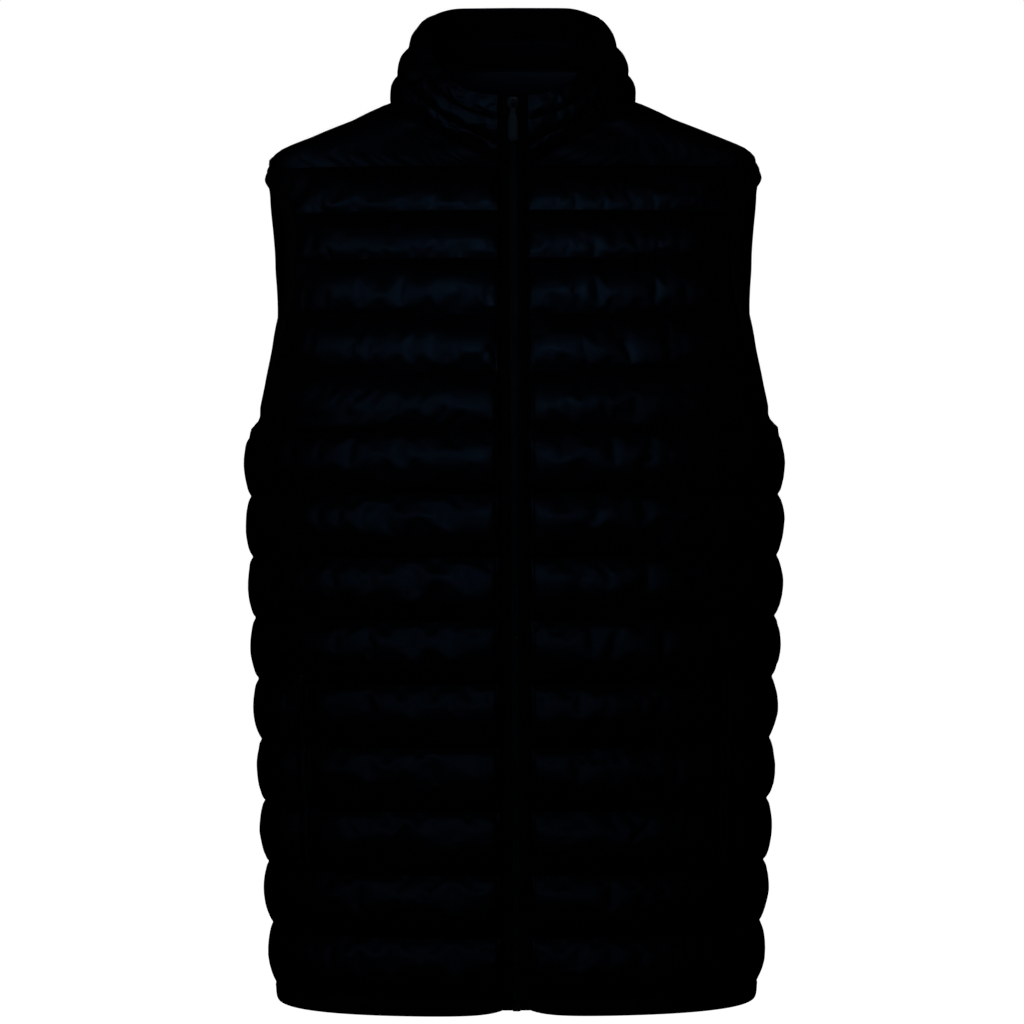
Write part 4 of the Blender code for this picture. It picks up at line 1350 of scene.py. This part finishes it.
def join(name, node, meshes, body=BODY):
    """One closed piece of metal from meshes that overlap, by boolean unions."""
    base = linked(name, meshes[0])
    tools = []
    for mesh in meshes[1:]:
        tool = linked("tool", mesh)
        modifier = base.modifiers.new("union", "BOOLEAN")
        modifier.operation = "UNION"
        modifier.object = tool
        tools.append(tool)
    made = mesh_of(base)
    for old in (base, *tools):
        bpy.data.objects.remove(old)
    made.materials.clear()
    made.shade_smooth()
    made.set_sharp_from_angle(angle=SHARP_FROM)
    seated(name, node, made, "metal", body)


def hinge(node):
    """Moves a pull from the origin to its joint, and turns it as the joint's axis says."""
    joint = next(j for j in frame["joints"] if j["child"] == node)
    axis = -Vector(joint["axis"])
    turn = Matrix.Rotation(math.atan2(axis.y, axis.x), 4, "Z")
    return Matrix.Translation(Vector(joint["pos_m"])) @ turn


def standing(deep):
    """Turns a plate upright and moves it back by this much."""
    return Matrix.Translation((0, deep, 0)) @ UPRIGHT


def make_slider(name, node, pull_node, size):
    """The slider: a shield plate, a core behind it and a bridge whose hole holds the pull."""
    move = hinge(pull_node)
    shield = superellipse(SHIELD, size)
    below = np.clip(-shield[:, 1] / (SHIELD[0][1] * size), 0, 1)
    shield[:, 0] *= 1 - SHIELD_TAPER * below
    core = [superellipse(CORE, size)]
    bridge = [superellipse(BRIDGE, size), superellipse(BRIDGE_HOLE, size)]
    parts = (
        ([shield], SHIELD_THICK, standing(SHIELD_DEEP * size)),
        (core, CORE_THICK, standing(CORE_DEEP * size)),
        (bridge, BRIDGE_THICK, SIDEWAYS),
    )
    bevel = SLIDER_BEVEL * size
    meshes = [plate(lines, thick * size, bevel, move @ turn) for lines, thick, turn in parts]
    join(name, node, meshes)


def make_pull(name, node, size):
    """The pull tab: an eye round its bar, a neck, and a wide end with a raised rim.

    Its half widths lie on a smooth curve through the table's, times sqrt(1 - (1 - d / reach)^n)
    near its ends.
    """
    move = hinge(node)
    top, bottom = (end * size for end in PULL_ENDS)
    y = np.linspace(0, 1, PULL_POINTS)
    half = smooth(PULL_SHAPE, 1, y) * size
    for distance, (reach, power, least) in ((1 - y, PULL_ROUND_END), (y, PULL_ROUND_TOP)):
        half *= np.sqrt(np.clip(1 - (1 - distance / reach).clip(0) ** power, least, 1))
    right = np.stack([half, top + (bottom - top) * y], axis=1)
    outline = np.concatenate([right, (right * (-1, 1))[::-1]])
    eye = superellipse(PULL_EYE, size, PULL_EYE_Z)
    bar = superellipse(PULL_BAR, size)
    rim = superellipse(RIM, size, RIM_Z)
    middle = rim.mean(axis=0)
    inset = middle + (rim - middle) * np.array(RIM_INSET)
    meshes = [
        plate([outline, eye], PULL_THICK * size, PULL_BEVEL * size, move @ UPRIGHT),
        plate([bar], PULL_BAR_LONG * size, PULL_BAR_BEVEL * size, move @ SIDEWAYS),
    ]
    for way in (-1, 1):
        turn = move @ standing(way * RIM_OUT * size)
        meshes.append(plate([rim, inset], RIM_THICK * size, RIM_BEVEL * size, turn))
    join(name, node, meshes, node)


def make_zip_box():
    """The zip's bottom box: a block with a rib round it."""
    low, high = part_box("zip_box")
    low.z += BOX_SHORT
    size, middle = high - low, (low + high) / 2
    block = superellipse(((size.x / 2, size.z / 2), *BOX_OUTLINE))
    rib = superellipse(((size.x * BOX_RIB[0], size.z * BOX_RIB[1]), *BOX_RIB_OUTLINE))
    raised = middle + Vector((0, 0, size.z * BOX_RIB_AT))
    meshes = [
        plate([block], size.y, BOX_BEVEL, Matrix.Translation(middle) @ UPRIGHT),
        plate([rib], size.y + BOX_RIB_PROUD, BOX_RIB_BEVEL, Matrix.Translation(raised) @ UPRIGHT),
    ]
    join("zip_box_moulded", "zip_box", meshes)


# --- The side pockets ------------------------------------------------------------------------
def pocket_line(side, sign):
    """Points, sideways and outward directions down the middle of a pocket's zip."""
    low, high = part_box(f"pocket_zip_{side}")
    grid = panel(False)
    height = grid["tube"] * grid["edge"] * bpy.context.scene.vest_cloth.puff
    height = height * (1 - POCKET_SINK * pocket_window(grid))
    outer = grid["base"] + grid["normal"] * height[..., None]
    part = np.linspace(0, 1, FRONT_COLUMNS)
    z = np.arange(low.z, high.z, POCKET_STEP)
    columns = []
    for place in (POCKET_FROM[1], POCKET_TO[0]):
        column = np.concatenate([read_at([place], part, row) for row in outer])
        columns.append(read_at(z, grid["z"], column) * (sign, 1, 1))
    a, b = columns
    across = unit(b - a)
    up = np.broadcast_to((0.0, 0.0, 1.0), a.shape)
    out = np.cross(across, up) * sign
    return (a + b) / 2, across, out, np.linalg.norm(b - a, axis=1).mean()


def make_pocket(side, sign):
    """Two folded lips that meet over a reversed zip, each a profile carried down the pocket."""
    middle, across, out, width = pocket_line(side, sign)
    node, z = f"pocket_zip_{side}", middle[:, 2, None]
    f = np.linspace(0, 2 * math.pi, LIP_POINTS, endpoint=False)
    lip_x, lip_y = signed_power(np.cos(f), LIP_POWERS[0]), signed_power(np.sin(f), LIP_POWERS[1])
    full = np.sqrt(np.clip(np.minimum(z - z[0], z[-1] - z) / LIP_END, LIP_THINNEST, 1))
    near, far = LIP_NEAR, width / 2 - LIP_SHORT
    for name, way in (("lip_front", -1), ("lip_rear", 1)):
        x = way * (near + far) / 2 + (far - near) / 2 * lip_x
        y = (POCKET_SEAT + LIP_HALF + LIP_HALF * lip_y) * full
        uv = np.stack([z + 0 * x, x + 0 * z], axis=2)
        tube(f"pocket_{name}_{side}", node, carried(middle, across, out, x, y), "nylon", uv)
    wide, thick, level = POCKET_COIL
    x, y = wide * np.cos(f), POCKET_SEAT + level + thick * np.sin(f)
    tube(f"pocket_coil_{side}", node, carried(middle, across, out, x, y), "coil")


def on_pocket(points):
    """Which points lie under a pocket's zip."""
    low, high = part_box("pocket_zip_left")
    x = np.abs(points[:, 0])
    inside = (x > low.x - POCKET_MARGIN) & (x < high.x + POCKET_MARGIN)
    return inside & (points[:, 2] > low.z) & (points[:, 2] < high.z)


# --- The stage -------------------------------------------------------------------------------
def make_light(name, power, size, spread, place, aim):
    """A rectangular light at a place that faces its aim."""
    light = bpy.data.lights.new(name, "AREA")
    light.spread = spread
    light.shape = "RECTANGLE"
    light.size, light.size_y = size
    light.energy = power
    light.color = LIGHT_COLOUR
    holder = linked(name, light)
    holder.location = place
    holder.rotation_euler = (aim - place).to_track_quat("-Z", "Y").to_euler()


def make_world(scene):
    """A white surround that the camera sees and that lights nothing."""
    world = bpy.data.worlds.new("surround")
    world.use_nodes = True
    world.node_tree.nodes["Background"].inputs["Color"].default_value = (1, 1, 1, 1)
    world.cycles_visibility.diffuse = False
    world.cycles_visibility.glossy = False
    scene.world = world


def make_floor(level):
    """A pale round floor that fades into the surround."""
    angle = np.linspace(0, 2 * math.pi, FLOOR_SIDES, endpoint=False)
    ring = np.stack([np.cos(angle), np.sin(angle), 0 * angle], axis=1) * FLOOR_RADIUS
    mesh = bpy.data.meshes.new("floor")
    mesh.from_pydata((ring + (0, 0, level)).tolist(), [], [list(range(len(ring)))])
    look = {"Base Color": (0.8, 0.8, 0.8, 1), "Roughness": 0.9}
    look |= {"Emission Color": (1, 1, 1, 1), "Emission Strength": 1.0}
    mesh.materials.append(Finish("pale_floor", look).material)
    floor = linked("floor", mesh)
    floor.visible_diffuse = floor.visible_glossy = False


def make_camera(stage):
    """The camera, level and square to the zip but for its small roll."""
    camera = bpy.data.cameras.new("camera")
    camera.lens, camera.sensor_width = stage.lens, SENSOR_WIDTH
    holder = linked("camera", camera)
    holder.location = (stage.camera_x, -stage.distance, stage.camera_z)
    holder.rotation_euler = (math.pi / 2, stage.roll, 0)
    return holder


# --- Settings, operators and panel -----------------------------------------------------------
class VestCloth(bpy.types.PropertyGroup):
    puff: FloatProperty(
        name="Puff", description="Height of a tube of padding", default=0.0070, min=0, unit="LENGTH"
    )
    pressure: FloatProperty(name="Pressure", description="Of the padding", default=3.0, min=0)
    stiffness: FloatProperty(name="Stiffness", description="Against bending", default=0.08, min=0)
    slack_least: FloatProperty(
        name="Least slack", description="Spare cloth in the plainer tubes", default=0.008, min=0
    )
    slack_most: FloatProperty(
        name="Most slack", description="Spare cloth at the chest and beside the zip", default=0.032
    )
    shake: FloatProperty(
        name="Shake", description="Unevenness before the cloth fills", default=0.0005, unit="LENGTH"
    )
    uneven: FloatProperty(name="Uneven", description="Uneven filling along the tubes", default=0.12)
    frames: IntProperty(name="Frames", description="Length of the simulation", default=24, min=1)
    seed: IntProperty(name="Seed", description="Of the unevenness", default=3)


class VestColours(bpy.types.PropertyGroup):
    nylon: FloatVectorProperty(
        name="Nylon", description="Colour of the cloth", subtype="COLOR", default=COLOURS["nylon"]
    )
    nylon_roughness: FloatProperty(name="Nylon roughness", description="Of the cloth", default=0.45)
    nylon_sheen: FloatVectorProperty(
        name="Nylon sheen",
        description="Tint of its reflections",
        subtype="COLOR",
        default=(0.26, 0.54, 1.0),
    )
    nylon_gloss: FloatProperty(name="Nylon gloss", description="Specular level", default=0.58)
    coil_gloss: FloatProperty(name="Coil gloss", description="Specular level", default=1.0)
    metal_gloss: FloatProperty(name="Metal gloss", description="Specular level", default=0.4)


class VestStage(bpy.types.PropertyGroup):
    distance: FloatProperty(
        name="Distance", description="Camera to the zip", default=2.4, min=0.5, unit="LENGTH"
    )
    camera_z: FloatProperty(name="Height", description="Camera's level", default=-0.306, unit="LENGTH")
    camera_x: FloatProperty(name="Side", description="Camera's offset", default=-0.0019, unit="LENGTH")
    lens: FloatProperty(name="Lens", description="Focal length in mm", default=113.4, min=10)
    roll: FloatProperty(
        name="Roll", description="Camera's roll", default=math.radians(0.23), subtype="ANGLE"
    )
    key: FloatProperty(name="Key", description="Power of the key light", default=2.1, min=0)
    chest: FloatProperty(name="Chest", description="Power of the chest's lights", default=0.043, min=0)
    back: FloatProperty(name="Back", description="Power of the light behind", default=1.2, min=0)
    floor_z: FloatProperty(name="Floor", description="Level of the floor", default=-0.98, unit="LENGTH")


class VEST_OT_panels(bpy.types.Operator):
    """Make the quilted panels and their stitching"""

    bl_idname = "vest.panels"
    bl_label = "Panels"

    def execute(self, context):
        cloth = context.scene.vest_cloth
        for node, behind, mirror, seed in (
            ("front_left", False, False, 0),
            ("front_right", False, True, 1),
            ("back", True, False, 2),
        ):
            make_panel(node, behind, mirror, cloth.seed + seed, cloth)
        return {"FINISHED"}


class VEST_OT_collar(bpy.types.Operator):
    """Make the padded stand collar"""

    bl_idname = "vest.collar"
    bl_label = "Collar"

    def execute(self, context):
        make_collar(context.scene.vest_cloth)
        return {"FINISHED"}


class VEST_OT_bindings(bpy.types.Operator):
    """Make the elastic bindings of the armholes and the hem"""

    bl_idname = "vest.bindings"
    bl_label = "Bindings"

    def execute(self, context):
        make_bindings()
        return {"FINISHED"}


class VEST_OT_front_zip(bpy.types.Operator):
    """Make the front zip with its tapes, coils, box, slider and pull"""

    bl_idname = "vest.front_zip"
    bl_label = "Front zip"

    def execute(self, context):
        path = zip_path()
        make_tapes(path)
        make_coils(path)
        make_zip_box()
        make_slider("zip_slider_cast", "zip_slider", "zip_pull", 1)
        make_pull("zip_pull_tab", "zip_pull", 1)
        return {"FINISHED"}


class VEST_OT_pockets(bpy.types.Operator):
    """Make the zips of the side pockets"""

    bl_idname = "vest.pockets"
    bl_label = "Pockets"

    def execute(self, context):
        for side, sign in (("left", 1), ("right", -1)):
            make_pocket(side, sign)
            pull = f"pocket_pull_{side}"
            slider = f"pocket_slider_{side}"
            make_slider(f"{slider}_cast", slider, pull, PULL_SIZE)
            make_pull(f"{pull}_tab", pull, PULL_SIZE)
        return {"FINISHED"}


class VEST_OT_stage(bpy.types.Operator):
    """Make the floor, the lights and the camera"""

    bl_idname = "vest.stage"
    bl_label = "Stage"

    def execute(self, context):
        stage = context.scene.vest_stage
        make_world(context.scene)
        make_floor(stage.floor_z)
        side = stage.chest * SIDE_SHARE
        for name, power, size, degrees, place, aim in (
            ("key_light", stage.key, (4.4, 0.8), 180, (-0.75, -2.7, 0.75), (0, 0, -0.30)),
            ("front_light", stage.chest, (1.8, 0.4), 10, (0.05, -2.72, 0.95), (0, -0.1, -0.10)),
            ("side_light", side, (1.6, 0.4), 10, (-1.7, -2.1, 0.95), (0, -0.1, -0.10)),
            ("back_light", stage.back, (0.4, 0.6), 180, (0.0, 2.8, -0.30), (0, 0, -0.35)),
        ):
            make_light(name, power, size, math.radians(degrees), Vector(place), Vector(aim))
        context.scene.camera = make_camera(stage)
        context.scene.view_settings.view_transform = "Standard"
        return {"FINISHED"}


class VEST_PT_sidebar(bpy.types.Panel):
    bl_label = "Puffer Vest"
    bl_idname = "VEST_PT_sidebar"
    bl_space_type = "VIEW_3D"
    bl_region_type = "UI"
    bl_category = "Puffer Vest"

    def draw(self, context):
        for group in (context.scene.vest_cloth, context.scene.vest_colours, context.scene.vest_stage):
            for name in group.bl_rna.properties.keys():
                if name not in ("rna_type", "name"):
                    self.layout.prop(group, name)
        for operator in OPERATORS:
            self.layout.operator(operator.bl_idname)


GROUPS = {"vest_cloth": VestCloth, "vest_colours": VestColours, "vest_stage": VestStage}
OPERATORS = (
    VEST_OT_panels,
    VEST_OT_collar,
    VEST_OT_bindings,
    VEST_OT_front_zip,
    VEST_OT_pockets,
    VEST_OT_stage,
)


def register():
    """Registers the settings, the operators and the panel."""
    for group in GROUPS.values():
        bpy.utils.register_class(group)
    for name, group in GROUPS.items():
        setattr(bpy.types.Scene, name, PointerProperty(type=group))
    for made in (*OPERATORS, VEST_PT_sidebar):
        bpy.utils.register_class(made)


def unregister():
    """Removes them again."""
    for made in (VEST_PT_sidebar, *reversed(OPERATORS)):
        bpy.utils.unregister_class(made)
    for name in GROUPS:
        delattr(bpy.types.Scene, name)
    for group in GROUPS.values():
        bpy.utils.unregister_class(group)


def main():
    """Makes every group of pieces and the stage."""
    register()
    bpy.ops.vest.panels()
    bpy.ops.vest.collar()
    bpy.ops.vest.bindings()
    bpy.ops.vest.front_zip()
    bpy.ops.vest.pockets()
    bpy.ops.vest.stage()


if __name__ == "__main__":
    main()
